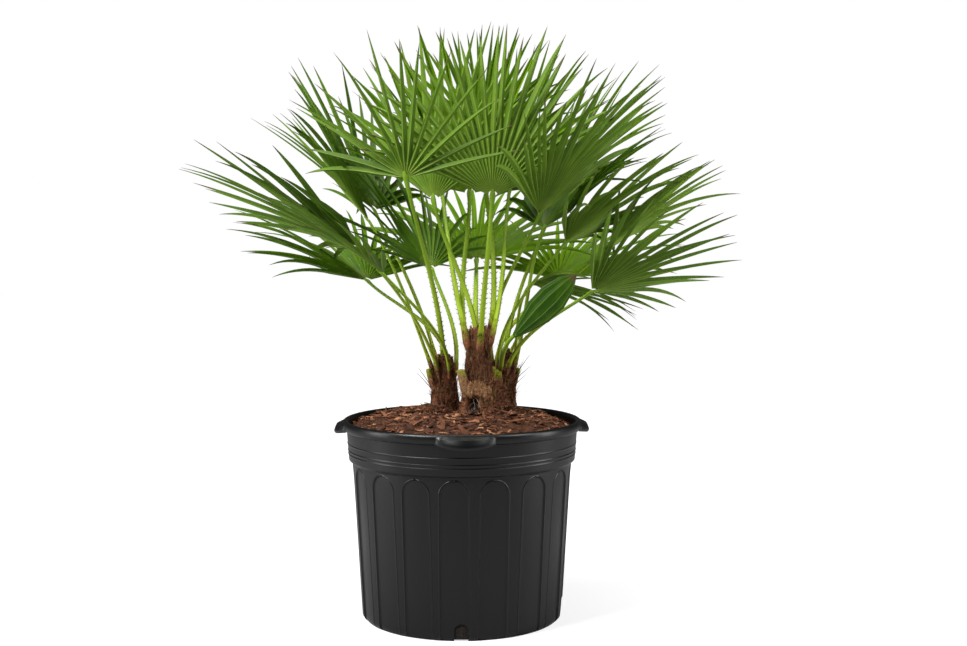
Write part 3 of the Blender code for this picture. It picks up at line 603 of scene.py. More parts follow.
pot = wall.piece("nursery_pot", black_plastic(), weld=1e-6)
boolean(pot, [grip_shape(GRIP_AZIMUTH + 90 * k) for k in range(4)], "UNION")
boolean(pot, [hole_shape(HOLE_AZIMUTH + 90 * k) for k in range(4)], "DIFFERENCE")
pot.data.shade_smooth()
pot.data.set_sharp_from_angle(angle=math.radians(36))
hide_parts("pot")
print("pot faces:", len(pot.data.polygons))

# %% [markdown]
# ## Potting soil
# The root ball only shows through the drain holes, as dark soil with a few
# crumbs of bark, so its solid stays and gets a crumbly finish.  The soil is
# painted darker still, almost black, as painted shade for the dim inside of
# the pot.

# %% The soil's finish
def soil():
    finish = Finish("root_ball", Roughness=0.95)
    crumbs = finish.noise(160.0, 4.0, 0.7)
    bark = finish.noise(70.0, 2.0).over(0.62, 0.06)
    # Almost black: the soil's own dark brown, darkened further as painted shade for the inside of the pot.
    dark = finish.mix(crumbs.over(0.5, 0.3), (0.001, 0.0008, 0.0006), (0.018, 0.011, 0.006))
    return finish.feed(Base_Color=finish.mix(bark, dark, (0.20, 0.075, 0.025)),
                       Normal=finish.bump(crumbs, 1.0, 0.01))


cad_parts["root_ball"].data.materials.clear()
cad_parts["root_ball"].data.materials.append(soil())

# %% [markdown]
# ## Bark mulch
# Shredded pine bark is a heap of flat splinters of all sizes, from crumbs to
# shards as long as a finger, with torn ends and a coarse grain.  Each one is a
# small closed loft with jittered sections.  A few large ones are strewn first,
# then more and smaller ones, and they all lie roughly along the mound.

# %% The mound under the bark
def mulch_height(x, y):
    """Top of the mulch: a low mound, lower at the edge and lowest at the right."""
    radius = math.hypot(x, y)
    edge = MULCH_EDGE - 0.006 * max(0.0, x / 0.2)
    share = max(0.0, 1 - (radius / 0.209) ** 2.6)
    ripple = math.sin(61 * x + 1.3) * math.sin(53 * y + 0.4) + 0.6 * math.sin(131 * x) * math.cos(117 * y)
    return edge + (MULCH_CROWN - edge) * share ** 0.8 + 0.0016 * ripple


def mound_shape(rng):
    shape = Shape("tone", "grain")
    rings = list(np.linspace(0.006, 0.2085, 44))
    rows = []
    for radius in rings:
        row = []
        for k in range(132):
            angle = 2 * math.pi * k / 132
            x = radius * math.cos(angle)
            y = radius * math.sin(angle)
            z = mulch_height(x, y) - 0.0030 + rng.uniform(-0.0014, 0.0014)
            row.append(shape.point((x, y, z), rng.uniform(0.0, 0.3), 0.0))
        rows.append(row)
    rows.append([shape.point((0.2080 * p[0] / 0.2085, 0.2080 * p[1] / 0.2085, SOIL_TOP + 0.0003), 0.1, 0.0)
                 for p in (shape.points[i] for i in rows[-1])])
    for low, high in zip(rows, rows[1:]):
        for k in range(132):
            n = (k + 1) % 132
            shape.face(low[k], high[k], high[n], low[n])
    shape.face(*reversed(rows[0]))
    shape.face(*rows[-1])
    return shape


print("mound from", MULCH_EDGE, "to", MULCH_CROWN, "m")

# %% One splinter of bark
def splinter(shape, rng, place, length, width, thick, heading, tilt, stations, sides):
    along = np.array((math.cos(heading) * math.cos(tilt), math.sin(heading) * math.cos(tilt), math.sin(tilt)))
    across = unit(np.cross(UP, along))
    lean = rng.gauss(0, 0.35)
    across = unit(across + np.cross(along, across) * lean)
    over = np.cross(along, across)
    bow = rng.uniform(-0.12, 0.12)
    tone = rng.random()
    rings = []
    for k in range(stations):
        share = k / (stations - 1)
        full = math.sin(math.pi * min(0.94, max(0.10, share))) ** 0.6
        wide = width / 2 * full * rng.uniform(0.75, 1.1)
        high = thick / 2 * full * rng.uniform(0.7, 1.2)
        middle = place + along * length * (share - 0.5) + across * rng.uniform(-0.12, 0.12) * width
        middle = middle + over * (bow * length * (1 - (2 * share - 1) ** 2))
        ring = []
        for p in circle(middle, across, over, wide, high, sides):
            ring.append(p + along * rng.uniform(-0.08, 0.08) * length + over * rng.uniform(-0.15, 0.15) * thick)
        rings.append(ring)
    shape.tube(rings, [(tone, k / (stations - 1)) for k in range(stations)])


MULCH_SIZES = (
    # how many, length, width, thickness, stations, sides
    (60, (0.022, 0.040), (0.007, 0.015), (0.0020, 0.0042), 7, 8),
    (330, (0.012, 0.026), (0.0035, 0.0085), (0.0012, 0.0030), 5, 6),
    (1500, (0.004, 0.014), (0.0010, 0.0038), (0.0006, 0.0018), 4, 5),
)


def strew(shape, rng):
    for count, lengths, widths, thicks, stations, sides in MULCH_SIZES:
        for _ in range(count):
            length = rng.uniform(*lengths)
            reach = 0.2060 - 0.34 * length
            radius = reach * math.sqrt(rng.random())
            angle = rng.uniform(0, 2 * math.pi)
            x = radius * math.cos(angle)
            y = radius * math.sin(angle)
            tilt = rng.gauss(0, 0.16) if rng.random() < 0.93 else rng.uniform(-0.9, 0.9)
            lift = rng.uniform(-0.0005, 0.0045) + abs(math.sin(tilt)) * length * 0.25
            place = np.array((x, y, mulch_height(x, y) + lift - 0.0010))
            splinter(shape, rng, place, length, rng.uniform(*widths), rng.uniform(*thicks),
                     rng.uniform(0, 2 * math.pi), tilt, stations, sides)


print("splinters:", sum(row[0] for row in MULCH_SIZES))

# %% The bark's finish
def bark_mulch():
    finish = Finish("bark_mulch", Specular_IOR_Level=0.25)
    tone = finish.number("tone")
    grain = finish.noise(420.0, 3.0, 0.6)
    patch = finish.noise(60.0, 3.0)
    shade = tone * 0.75 + patch * 0.35 - 0.05
    red = finish.mix(shade.over(0.45, 0.7), (0.024, 0.0085, 0.0042), (0.290, 0.105, 0.045))
    pale = finish.mix(tone.over(0.78, 0.20) * patch.over(0.5, 0.3), red, (0.560, 0.290, 0.150))
    colour = finish.mix(grain.over(0.45, 0.4) * 0.45, pale, (0.030, 0.011, 0.006))
    return finish.feed(Base_Color=colour, Roughness=grain * 0.2 + 0.72,
                       Normal=finish.bump(grain + patch, 0.7, 0.0015))


bark = bark_mulch()
rng = random.Random(11)
heap = mound_shape(rng)
strew(heap, rng)
mulch = heap.piece("bark_mulch", bark, crease=30)
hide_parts("mulch")

# %% [markdown]
# ## The fronds' plan
# The crown is laid out by the same rule as the solids: a short table gives each
# frond's stem, hub, direction, size and number of blades.  The petioles share
# out each stem's top, and every fan that would touch its neighbour moves a
# little.  Last, every blade that would still touch something is bent clear.
# Repeating the rule here puts each fine frond exactly where its solid is.

# %% Stems and leaf sizes
STEM_FOOT = 0.250
STEM_PLAIN = 0.389
STEMS = {
    "left": dict(at=(-0.032, 0.020), radius=0.0245, top=0.480, lean=(-0.02, 0.00)),
    "centre": dict(at=(0.028, -0.030), radius=0.0275, top=0.535, lean=(0.02, 0.02)),
    "right": dict(at=(0.076, 0.090), radius=0.0245, top=0.480, lean=(0.10, -0.05)),
}
LEAF_THICKNESS = 0.0010
PLEAT = 0.42
BLADE_TAPER = 0.80
CLEARANCE = 0.0008
PETIOLE_BASE = 0.0058
PETIOLE_END = 0.0037
SPINE_LENGTH = 0.0045
SPINE_PITCH = 0.080
FIRST_SPINE = 0.075
LAST_SPINE = 0.030
FAN_CUP = 9
SOCKET_DEPTH = 0.045
SEAT_OFFSET = 0.58
NUDGE = (0.010, 0.014, 0.010)
NUDGE_TURN = 6
NUDGE_ROLL = 9
YOUNG_FOOT = (0.074, 0.060, 0.455)
YOUNG_BEND = (0.072, -0.060, 0.515)
YOUNG_BASE = (0.097, -0.115, 0.536)
YOUNG_TIP = (0.200, -0.130, 0.641)
YOUNG_HALF_WIDTH = 0.027
YOUNG_STALK = 0.0048
YOUNG_STALK_END = 0.0036
print("stems:", ", ".join(STEMS))

# %% The table of fronds
# Fronds: stem, hub, heading and rise of the midrib, roll of the fan about it
# (all in degrees), blade length, number of blades, half spread, droop, and the
# share of the length that is joined
FRONDS = (
    ("centre", (0.054, -0.125, 0.780), -85, 76, 0, 0.318, 18, 70, 0.01, 0.36),
    ("left", (-0.098, -0.135, 0.812), -118, 64, -6, 0.270, 8, 88, 0.01, 0.15),
    ("right", (0.141, -0.060, 0.750), -36, 46, 5, 0.350, 18, 66, 0.02, 0.33),
    ("right", (0.237, -0.050, 0.609), -15, 18, 24, 0.300, 14, 74, 0.01, 0.29),
    ("left", (-0.141, -0.090, 0.643), -170, 28, 2, 0.290, 14, 82, 0.01, 0.29),
    ("right", (0.191, -0.010, 0.698), -10, 30, 12, 0.300, 14, 76, 0.02, 0.29),
    ("left", (-0.194, 0.020, 0.688), 178, 17, -14, 0.365, 14, 76, 0.01, 0.31),
    ("centre", (-0.052, -0.020, 0.775), -120, 87, 0, 0.355, 14, 60, 0.00, 0.29),
    ("right", (0.132, 0.070, 0.620), -12, -18, 20, 0.220, 8, 60, 0.02, 0.29),
    ("centre", (0.015, 0.050, 0.789), 95, 80, 0, 0.340, 14, 80, 0.00, 0.29),
    ("right", (0.154, 0.060, 0.725), 20, 45, 12, 0.350, 14, 80, 0.02, 0.29),
    ("centre", (0.105, 0.160, 0.800), 62, 66, 0, 0.330, 14, 80, 0.01, 0.29),
    ("left", (-0.170, 0.140, 0.760), 150, 52, -8, 0.340, 14, 82, 0.01, 0.29),
    ("left", (-0.058, 0.110, 0.647), 140, 45, 0, 0.300, 13, 80, 0.02, 0.29),
    ("centre", (-0.030, 0.220, 0.790), 98, 55, 0, 0.330, 14, 88, 0.02, 0.29),
    ("right", (0.190, 0.170, 0.790), 35, 56, 5, 0.340, 14, 86, 0.02, 0.29),
    ("right", (0.285, 0.100, 0.690), 8, 26, 18, 0.300, 14, 84, 0.02, 0.29),
    ("centre", (0.030, 0.270, 0.660), 88, 30, 0, 0.320, 14, 88, 0.03, 0.29),
    ("left", (-0.190, 0.220, 0.620), 135, 28, 0, 0.320, 14, 88, 0.03, 0.29),
    ("right", (0.200, 0.290, 0.620), 58, 24, 0, 0.310, 14, 88, 0.03, 0.29),
    ("left", (-0.165, 0.070, 0.738), 168, 42, -26, 0.300, 13, 68, 0.02, 0.29),
    ("centre", (0.040, 0.130, 0.900), 80, 74, 0, 0.230, 12, 80, 0.00, 0.29),
)
print("fronds:", len(FRONDS), "blades:", sum(row[6] for row in FRONDS))

# %% Plain solids, for the clearance tests
def lofted(sections):
    """Closed solid through sections that have the same number of points."""
    count = len(sections[0])
    verts = [tuple(p) for section in sections for p in section]
    faces = [tuple(reversed(range(count)))]
    for s in range(len(sections) - 1):
        for k in range(count):
            n = (k + 1) % count
            a = s * count
            b = a + count
            faces.append((a + k, a + n, b + n, b + k))
    faces.append(tuple(range(len(verts) - count, len(verts))))
    return verts, faces


def combine(solids):
    """Join the vertex and face lists of several solids into one pair of lists."""
    verts = []
    faces = []
    for some_verts, some_faces in solids:
        start = len(verts)
        verts.extend(some_verts)
        faces.extend([tuple(start + i for i in face) for face in some_faces])
    return verts, faces


def triangles(solid):
    verts, faces = solid
    made = []
    for face in faces:
        made += [(face[0], face[k], face[k + 1]) for k in range(1, len(face) - 1)]
    return verts, made


def tree(solid):
    verts, faces = solid
    return BVHTree.FromPolygons([Vector(v) for v in verts], faces)


def half_height(share):
    """Half the petiole's thickness along its length."""
    return 0.0038 - 0.0010 * share


def stem_centre(stem, height):
    """Point on a stem's axis, which leans above the soil."""
    place = np.array((*stem["at"], height))
    rise = max(0.0, height - STEM_PLAIN)
    return place + np.array((*stem["lean"], 0.0)) * rise


def fan_frame(heading, rise, roll):
    """Midrib, sideways and upper-face directions of a fan."""
    a = math.radians(heading)
    e = math.radians(rise)
    along = np.array((math.cos(a) * math.cos(e), math.sin(a) * math.cos(e), math.sin(e)))
    over = unit(UP - along * (UP @ along))
    side = np.cross(over, along)
    turn = math.radians(roll)
    rolled = over * math.cos(turn) + side * math.sin(turn)
    return along, side * math.cos(turn) - over * math.sin(turn), rolled


print("plain solids can be made")

# %% [markdown]
# One frond's plan is a Bezier petiole and a fan of spokes on a shallow cone.  The
# blades bend clear as stiff strips, each with a lift, a sway and a share of its
# length to keep.

# %% One frond's plan
class Frond:
    """Shape of one frond: its petiole's path and its fan of blades."""

    def __init__(self, number, stem, hub, heading, rise, roll, length, blades, spread, droop, joined):
        self.name = f"frond_{number:02d}"
        self.stem = STEMS[stem]
        self.stem_name = stem
        self.hub = np.array(hub, float)
        self.heading = heading
        self.rise = rise
        self.roll = roll
        self.length = length
        self.blades = blades
        self.spread = math.radians(spread)
        self.droop = droop
        self.joined = joined
        self.rng = random.Random(100 + number)
        self.reach = [self.blade_reach(i) for i in range(blades)]
        self.bends = [(0.0, 0.0, 1.0)] * blades
        self.seat = 0.0
        self.offset = 0.0
        self.aim()

    def aim(self):
        self.along, self.side, self.over = fan_frame(self.heading, self.rise, self.roll)
        self.split = self.joined * self.length

    def blade_reach(self, i):
        """Length of one blade: the outer ones are shorter, and none is the same."""
        off = abs(2 * (i + 0.5) / self.blades - 1)
        return self.length * (1 - 0.22 * off ** 2.2) * self.rng.uniform(0.94, 1.04)

    def spoke(self, angle):
        """Direction of a line that leaves the hub; the fan is a shallow cone."""
        cup = math.radians(FAN_CUP)
        flat = self.along * math.cos(angle) + self.side * math.sin(angle)
        return flat * math.cos(cup) + self.over * math.sin(cup)

    def step(self):
        return 2 * self.spread / self.blades

    def petiole_line(self, count):
        """Points from deep in the stem to just past the hub."""
        low = self.stem["top"] - SOCKET_DEPTH
        out = np.array((math.cos(self.seat), math.sin(self.seat), 0.0))
        start = stem_centre(self.stem, low) + out * self.offset
        span = np.linalg.norm(self.hub - start)
        first = start + unit(UP + out * self.offset / self.stem["radius"] * 0.6) * span * 0.36
        blend = unit(unit(self.hub - start) * 0.65 + self.along * 0.35)
        last = self.hub - blend * span * 0.30
        points = []
        for t in np.linspace(0, 1, count):
            points.append(start * (1 - t) ** 3 + first * 3 * t * (1 - t) ** 2
                          + last * 3 * t * t * (1 - t) + self.hub * t ** 3)
        points.append(self.hub + self.along * 0.0015)
        return points

    def petiole(self, count=6, grow=0.0, root_grow=0.0, part=1.0):
        """Six-sided stalk, wider than thick, that flattens into the fan."""
        points = self.petiole_line(count)
        points = points[:max(3, round(part * len(points)))]
        points[0] = points[0] - unit(points[1] - points[0]) * root_grow
        sections = []
        for k, point in enumerate(points):
            before = points[max(0, k - 1)]
            after = points[min(len(points) - 1, k + 1)]
            tangent = unit(after - before)
            across = unit(self.side - tangent * (self.side @ tangent))
            over = np.cross(tangent, across)
            share = min(1.0, k / (count - 1))
            half = PETIOLE_BASE - (PETIOLE_BASE - PETIOLE_END) * share
            half += root_grow + (grow - root_grow) * min(1.0, 4 * share)
            high = half_height(share) + grow
            if share == 1:
                half += 0.0020
            if k == count:
                half *= 0.6
            ring = []
            for a, b in ((1, -0.5), (1, 0.5), (0, 1), (-1, 0.5), (-1, -0.5), (0, -1)):
                ring.append(point + across * half * a + over * high * b)
            sections.append(ring)
        return lofted(sections)

    def spines(self):
        """Forward-pointing spines along both margins, clear of the stem."""
        points = self.petiole_line(24)
        lengths = np.cumsum([0] + [np.linalg.norm(b - a) for a, b in zip(points, points[1:])])
        solids = []
        place = FIRST_SPINE
        turn = 0
        while place < lengths[-1] - LAST_SPINE:
            k = int(np.searchsorted(lengths, place)) - 1
            share = (place - lengths[k]) / (lengths[k + 1] - lengths[k])
            point = points[k] * (1 - share) + points[k + 1] * share
            tangent = unit(points[k + 1] - points[k])
            across = unit(self.side - tangent * (self.side @ tangent))
            over = np.cross(tangent, across)
            hand = 1 if turn % 2 else -1
            half = PETIOLE_BASE - (PETIOLE_BASE - PETIOLE_END) * place / lengths[-1]
            root = point + across * hand * (half - 0.0012)
            tip = point + across * hand * (half + SPINE_LENGTH) + tangent * 0.0030
            verts = [root - tangent * 0.0018, root + tangent * 0.0018 + over * 0.0009]
            verts += [root + tangent * 0.0018 - over * 0.0009, tip]
            solids.append((verts, [(0, 1, 2), (0, 3, 1), (1, 3, 2), (2, 3, 0)]))
            place += SPINE_PITCH / 2
            turn += 1
        return solids

    def blade_axis(self, i, bend=None):
        """Point function and direction of one free blade past the split."""
        angle = -self.spread + (i + 0.5) * self.step()
        lift, sway, keep = bend or self.bends[i]
        way = self.spoke(angle + math.radians(sway))
        a = math.radians(lift)
        way = unit(way * math.cos(a) + self.over * math.sin(a))
        root = self.hub + self.spoke(angle) * self.split
        free = (self.reach[i] - self.split) * keep

        def at(share):
            return root + way * free * share - UP * self.droop * share * share

        return at, way

    def blade_sections(self, i, bend=None, grow=0.0):
        """Margins at the mid station, the tip, and the blade's own upward direction."""
        at, way = self.blade_axis(i, bend)
        across = unit(np.cross(self.over, way))
        over = np.cross(way, across)
        half = self.split * math.sin(self.step() / 2) * BLADE_TAPER + grow
        middle = at(0.45)
        return (middle - across * half, middle + across * half), at(1.0), over

    def split_points(self, i):
        """Left margin, midrib and right margin of a blade where it leaves the fan."""
        angle = -self.spread + (i + 0.5) * self.step()
        ridge = self.split * math.sin(self.step() / 2) * PLEAT
        points = []
        for off, lift in ((-0.5, ridge), (0.0, -ridge), (0.5, ridge)):
            points.append(self.hub + self.spoke(angle + off * self.step()) * self.split + self.over * lift)
        return points

    def hard_shell(self):
        """Petiole and pleated part, a little oversize, for the clearance test."""
        rim = []
        for i in range(self.blades):
            rim += self.split_points(i)[:2]
        rim.append(self.split_points(self.blades - 1)[2])
        grown = [self.hub + (p - self.hub) * 1.02 for p in rim]
        verts = []
        faces = []
        for sign in (1, -1):
            start = len(verts)
            verts.append(self.hub + self.over * sign * (LEAF_THICKNESS / 2 + CLEARANCE))
            verts += [p + self.over * sign * (LEAF_THICKNESS / 2 + CLEARANCE) for p in grown]
            faces += [(start, start + k, start + k + 1) for k in range(1, len(grown))]
        fan = (verts, faces)
        return combine([fan, triangles(self.petiole(6, CLEARANCE))] + self.spines())

    def blade_shell(self, i, bend):
        """One free blade, a little oversize, for the clearance test."""
        mid, tip, over = self.blade_sections(i, bend, CLEARANCE)
        _, way = self.blade_axis(i, bend)
        left, rib, right = self.split_points(i)
        start = [left * 0.97 + mid[0] * 0.03, rib, right * 0.97 + mid[1] * 0.03]
        lift = over * (LEAF_THICKNESS / 2 + CLEARANCE)
        verts = []
        faces = []
        for sign in (1, -1):
            s = len(verts)
            verts += [p + lift * sign for p in start + list(mid) + [tip + way * 0.002]]
            faces += [(s, s + 1, s + 3), (s + 1, s + 4, s + 3), (s + 1, s + 2, s + 4), (s + 3, s + 4, s + 5)]
        faces += [(0, 3, 6), (3, 9, 6), (3, 5, 9), (5, 11, 9), (2, 4, 8), (4, 10, 8), (4, 5, 10), (5, 11, 10)]
        return verts, faces


print("a frond can be planned")

# %% Seats, nudges and bends
def stem_block(stem):
    """Plain column round a stem, for the clearance test."""
    sections = []
    for height in (MULCH_CROWN - 0.02, stem["top"] + 0.012):
        centre = stem_centre(stem, height)
        sections.append([centre + (stem["radius"] + 0.010) * np.array((math.cos(t), math.sin(t), 0))
                         for t in np.linspace(0, 2 * math.pi, 10, endpoint=False)])
    return triangles(lofted(sections))


def seat_petioles(fronds):
    """Share each stem's crown out: the most upright petiole in the middle, the rest round it."""
    for name, stem in STEMS.items():
        own = [frond for frond in fronds if frond.stem_name == name]
        own.sort(key=lambda frond: frond.rise)
        own.pop()
        bearings = []
        for frond in own:
            away = frond.hub - stem_centre(stem, stem["top"])
            bearings.append(math.atan2(away[1], away[0]))
        order = sorted(range(len(own)), key=lambda k: bearings[k])
        even = [2 * math.pi * k / len(own) for k in range(len(own))]
        drift = sum(np.exp(1j * (bearings[k] - turn)) for k, turn in zip(order, even))
        for k, turn in zip(order, even):
            own[k].seat = turn + float(np.angle(drift))
            own[k].offset = stem["radius"] * SEAT_OFFSET


def nudges():
    """Small moves to try, the smallest first: across, depth, height, turn and roll."""
    steps = (0, 1, -1, 2, -2, 3, -3)
    moves = [(a, d, h, t, r) for a in (0, 1, -1) for d in steps for h in (0, 1) for t in steps for r in steps]
    moves.sort(key=lambda m: 4 * m[0] ** 2 + 1.2 * m[1] ** 2 + 2 * m[2] ** 2 + m[3] ** 2 + m[4] ** 2)
    for across, depth, height, turn, roll in moves:
        yield np.array((across, depth, height)) * NUDGE, NUDGE_TURN * turn, NUDGE_ROLL * roll


def settle_fans(fronds, young):
    """Shift each frond by the smallest nudge that clears the ones before it."""
    placed = []
    columns = {name: tree(stem_block(stem)) for name, stem in STEMS.items()}
    for frond in fronds:
        start = frond.hub.copy()
        heading, roll = frond.heading, frond.roll
        others = placed + [young] + [c for name, c in columns.items() if name != frond.stem_name]
        fewest = None
        for shift, turn, tilt in nudges():
            frond.hub = start + shift
            frond.heading = heading + turn
            frond.roll = roll + tilt
            frond.aim()
            shell = tree(frond.hard_shell())
            hits = [k + 1 for k, other in enumerate(others) if shell.overlap(other)]
            if fewest is None or len(hits) < len(fewest[0]):
                fewest = (hits, frond.hub, frond.heading, frond.roll, shell)
            if not hits:
                break
        hits, frond.hub, frond.heading, frond.roll, shell = fewest
        frond.aim()
        placed.append(shell)
        print(frond.name, "moved", np.round(frond.hub - start, 3), "turned", round(frond.heading - heading),
              "rolled", round(frond.roll - roll), "still touches" if hits else "", hits or "")
    return placed


def bend_options():
    """Bends to try, the smallest first: lift and sway in degrees, share of length."""
    for keep in (1.0, 0.9, 0.78, 0.64, 0.5, 0.36, 0.24):
        for lift in (0, 5, -5, 10, -10, 16, -16, 22, -22):
            for sway in (0, 3, -3):
                yield lift, sway, keep


def settle_blades(fronds, shells, columns):
    """Bend or shorten each free blade until it clears every other piece."""
    placed = []
    short = 0
    for n, frond in enumerate(fronds):
        fixed = [s for k, s in enumerate(shells) if k != n] + columns
        own = []
        for i in range(frond.blades):
            for bend in bend_options():
                shell = tree(frond.blade_shell(i, bend))
                if any(shell.overlap(other) for other in own[-2:] if other):
                    continue
                if any(shell.overlap(other) for other in fixed + placed):
                    continue
                break
            else:
                print("blade", i, "of", frond.name, "ends at the split")
                bend = (0, 0, 0)
                shell = None
            frond.bends[i] = bend
            short += bend[2] < 0.7
            own.append(shell)
        solids = [frond.blade_shell(i, frond.bends[i]) for i in range(frond.blades) if own[i]]
        placed.append(tree(combine(solids)))
    print("blades under 0.7 of their length:", short)


def young_stalk(grow=0.0):
    """Round stalk of the unopened frond, from deep in its stem to its blade."""
    line = [np.array(p) for p in (YOUNG_FOOT, YOUNG_BEND, YOUNG_BASE)]
    sections = []
    for t in np.linspace(0, 1, 6):
        point = line[0] * (1 - t) ** 2 + line[1] * 2 * t * (1 - t) + line[2] * t * t
        tangent = unit((line[1] - line[0]) * (1 - t) + (line[2] - line[1]) * t)
        side = unit(np.cross(tangent, (0, 1, 0)))
        over = np.cross(tangent, side)
        radius = YOUNG_STALK + (YOUNG_STALK_END - YOUNG_STALK) * t + grow
        sections.append([point + side * radius * math.cos(a) + over * radius * math.sin(a)
                         for a in np.linspace(0, 2 * math.pi, 6, endpoint=False)])
    return lofted(sections)


def young_blade(grow=0.0):
    """Folded, pleated blade of the unopened frond."""
    foot = np.array(YOUNG_BASE)
    tip = np.array(YOUNG_TIP)
    along = unit(tip - foot)
    side = unit(np.cross(along, (0, 1, 0)))
    over = np.cross(along, side)
    sections = []
    for share, size in ((-0.04, 0.16), (0.12, 0.50), (0.38, 0.95), (0.62, 1.0), (0.85, 0.66), (1.0, 0.12)):
        middle = foot + (tip - foot) * share
        ring = []
        for k in range(16):
            angle = 2 * math.pi * k / 16
            fold = 1.0 if k % 2 == 0 else 0.74
            wide = YOUNG_HALF_WIDTH * size * fold + grow
            ring.append(middle + side * wide * math.cos(angle) + over * 0.30 * wide * math.sin(angle))
        sections.append(ring)
    return lofted(sections)


fronds = [Frond(number + 1, *row) for number, row in enumerate(FRONDS)]
seat_petioles(fronds)
young = tree(combine([triangles(young_blade(0.002)), triangles(young_stalk(0.001))]))
shells = settle_fans(fronds, young)
columns = [tree(stem_block(stem)) for stem in STEMS.values()]
settle_blades(fronds, shells, columns + [young])

# %% [markdown]
# ## Leaf blades
# A palmate leaf is one folded sheet: every segment is a V with its rib at the
# bottom, and neighbours are joined along their margins for part of the way out.
# Past that each blade is free, keeps its fold, narrows, and ends in a point or
# in two short ones.  The solids have room for some of the segments only, so here
# each fan is divided again, and a blade takes its bend from the plan's blades
# nearest to it, with a little scatter of its own.  The mesh
# is rows of points across each blade, with an upper and an under skin, and the
# margins of neighbours share their points as far as the split between them.

# %% How a fine fan is divided
ACROSS = (-1.0, -0.5, 0.0, 0.5, 1.0)
JOINED_ROWS = (0.03, 0.07, 0.12, 0.18, 0.24, 0.30, 0.36, 0.42, 0.48, 0.54, 0.60)
FREE_ROWS = (0.10, 0.22, 0.35, 0.48, 0.61, 0.73, 0.84, 0.93, 1.0)
FINE_PLEAT = 0.52
JOINED_MORE = 1.18
FULL_STEP = 5.6
PLAIN_STEP = 7.4
OPEN_STEP = 13.0
LEAF_NUMBERS = ("along", "tip", "across", "tone", "under", "dry", "stalk")


class Blade:
    """One narrow blade: its middle line, its bend and where it comes free."""

    def __init__(self, frond, angle, rng):
        place = (angle + frond.spread) / frond.step() - 0.5
        i = min(frond.blades - 1, max(0, round(place)))
        beside = min(frond.blades - 1, max(0, i + (1 if place > i else -1)))
        lift, sway, keep = frond.bends[i]
        if keep and frond.bends[beside][2]:
            part = abs(place - i)
            lift, sway, _ = ((1 - part) * a + part * b for a, b in zip(frond.bends[i], frond.bends[beside]))
        self.frond = frond
        self.angle = angle
        self.lift = lift
        self.sway = sway
        lift += rng.gauss(0, 4.6)
        sway += rng.gauss(0, 1.3)
        self.free = (frond.reach[i] - frond.split) * max(0.08, keep * rng.uniform(0.93, 1.02))
        self.end = frond.split + self.free
        way = frond.spoke(self.angle + math.radians(sway))
        turn = math.radians(lift)
        self.way = unit(way * math.cos(turn) + frond.over * math.sin(turn))
        self.twist = math.radians(rng.gauss(0, 10))
        self.drift = rng.gauss(0, 0.012) * frond.length
        self.sag = rng.uniform(0.0, 1.0) ** 2 * 0.022 * min(1.0, keep + 0.1)
        self.tone = 0.55 * rng.random() + 0.45 * frond.tone
        self.dry = rng.random()
        self.left = self.right = 0

    def middle(self, reach):
        """Middle line at a distance from the hub."""
        spoke = self.frond.spoke(self.angle)
        if reach <= self.frond.split:
            return self.frond.hub + spoke * reach
        share = (reach - self.frond.split) / self.free
        root = self.frond.hub + spoke * self.frond.split
        drop = UP * (self.frond.droop * share ** 2 + self.sag * share ** 3)
        return root + self.way * self.free * share - drop

    def turned(self, reach):
        """Sideways and upward directions at a distance from the hub."""
        ease = min(1.0, max(0.0, reach / self.frond.split - 0.8))
        along = unit(self.frond.spoke(self.angle) * (1 - ease) + self.way * ease)
        side = unit(np.cross(self.frond.over, along))
        over = np.cross(along, side)
        share = max(0.0, (reach - self.frond.split) / self.free)
        turn = self.twist * share * share
        return side * math.cos(turn) + over * math.sin(turn), over * math.cos(turn) - side * math.sin(turn)


def split_rows(blades, deep, rng):
    """Row where each blade comes free of the next, earlier where they part."""
    for one, other in zip(blades, blades[1:]):
        apart = abs(one.lift - other.lift) + abs(one.sway - other.sway)
        row = round(deep + rng.uniform(-1.2, 1.0) - apart / 3)
        limit = 0.62 * min(one.end, other.end) / one.frond.length
        fits = sum(share <= max(limit, one.frond.joined) for share in JOINED_ROWS) - 1
        one.right = other.left = max(3, min(row, fits, len(JOINED_ROWS) - 1))


print("rows in the joined part:", len(JOINED_ROWS), "free rows:", len(FREE_ROWS))

# %% The rows of one fan
def blade_row(blade, reach, lefts, rights, tip=False):
    """Points across a blade, given half its width on each side."""
    side, over = blade.turned(reach)
    middle = blade.middle(reach)
    deep = FINE_PLEAT * (lefts + rights) / 2
    row = []
    for c in ACROSS:
        fold = 2 * abs(c) ** 0.92 - 1
        row.append(middle + side * c * (lefts if c < 0 else rights) + over * fold * deep)
    return row, over


def blade_count(frond):
    """The front fans are the fullest; the others have wider and fewer blades."""
    wide = FULL_STEP if frond.joined > 0.32 else PLAIN_STEP if frond.joined > 0.2 else OPEN_STEP
    return round(math.degrees(2 * frond.spread) / wide)


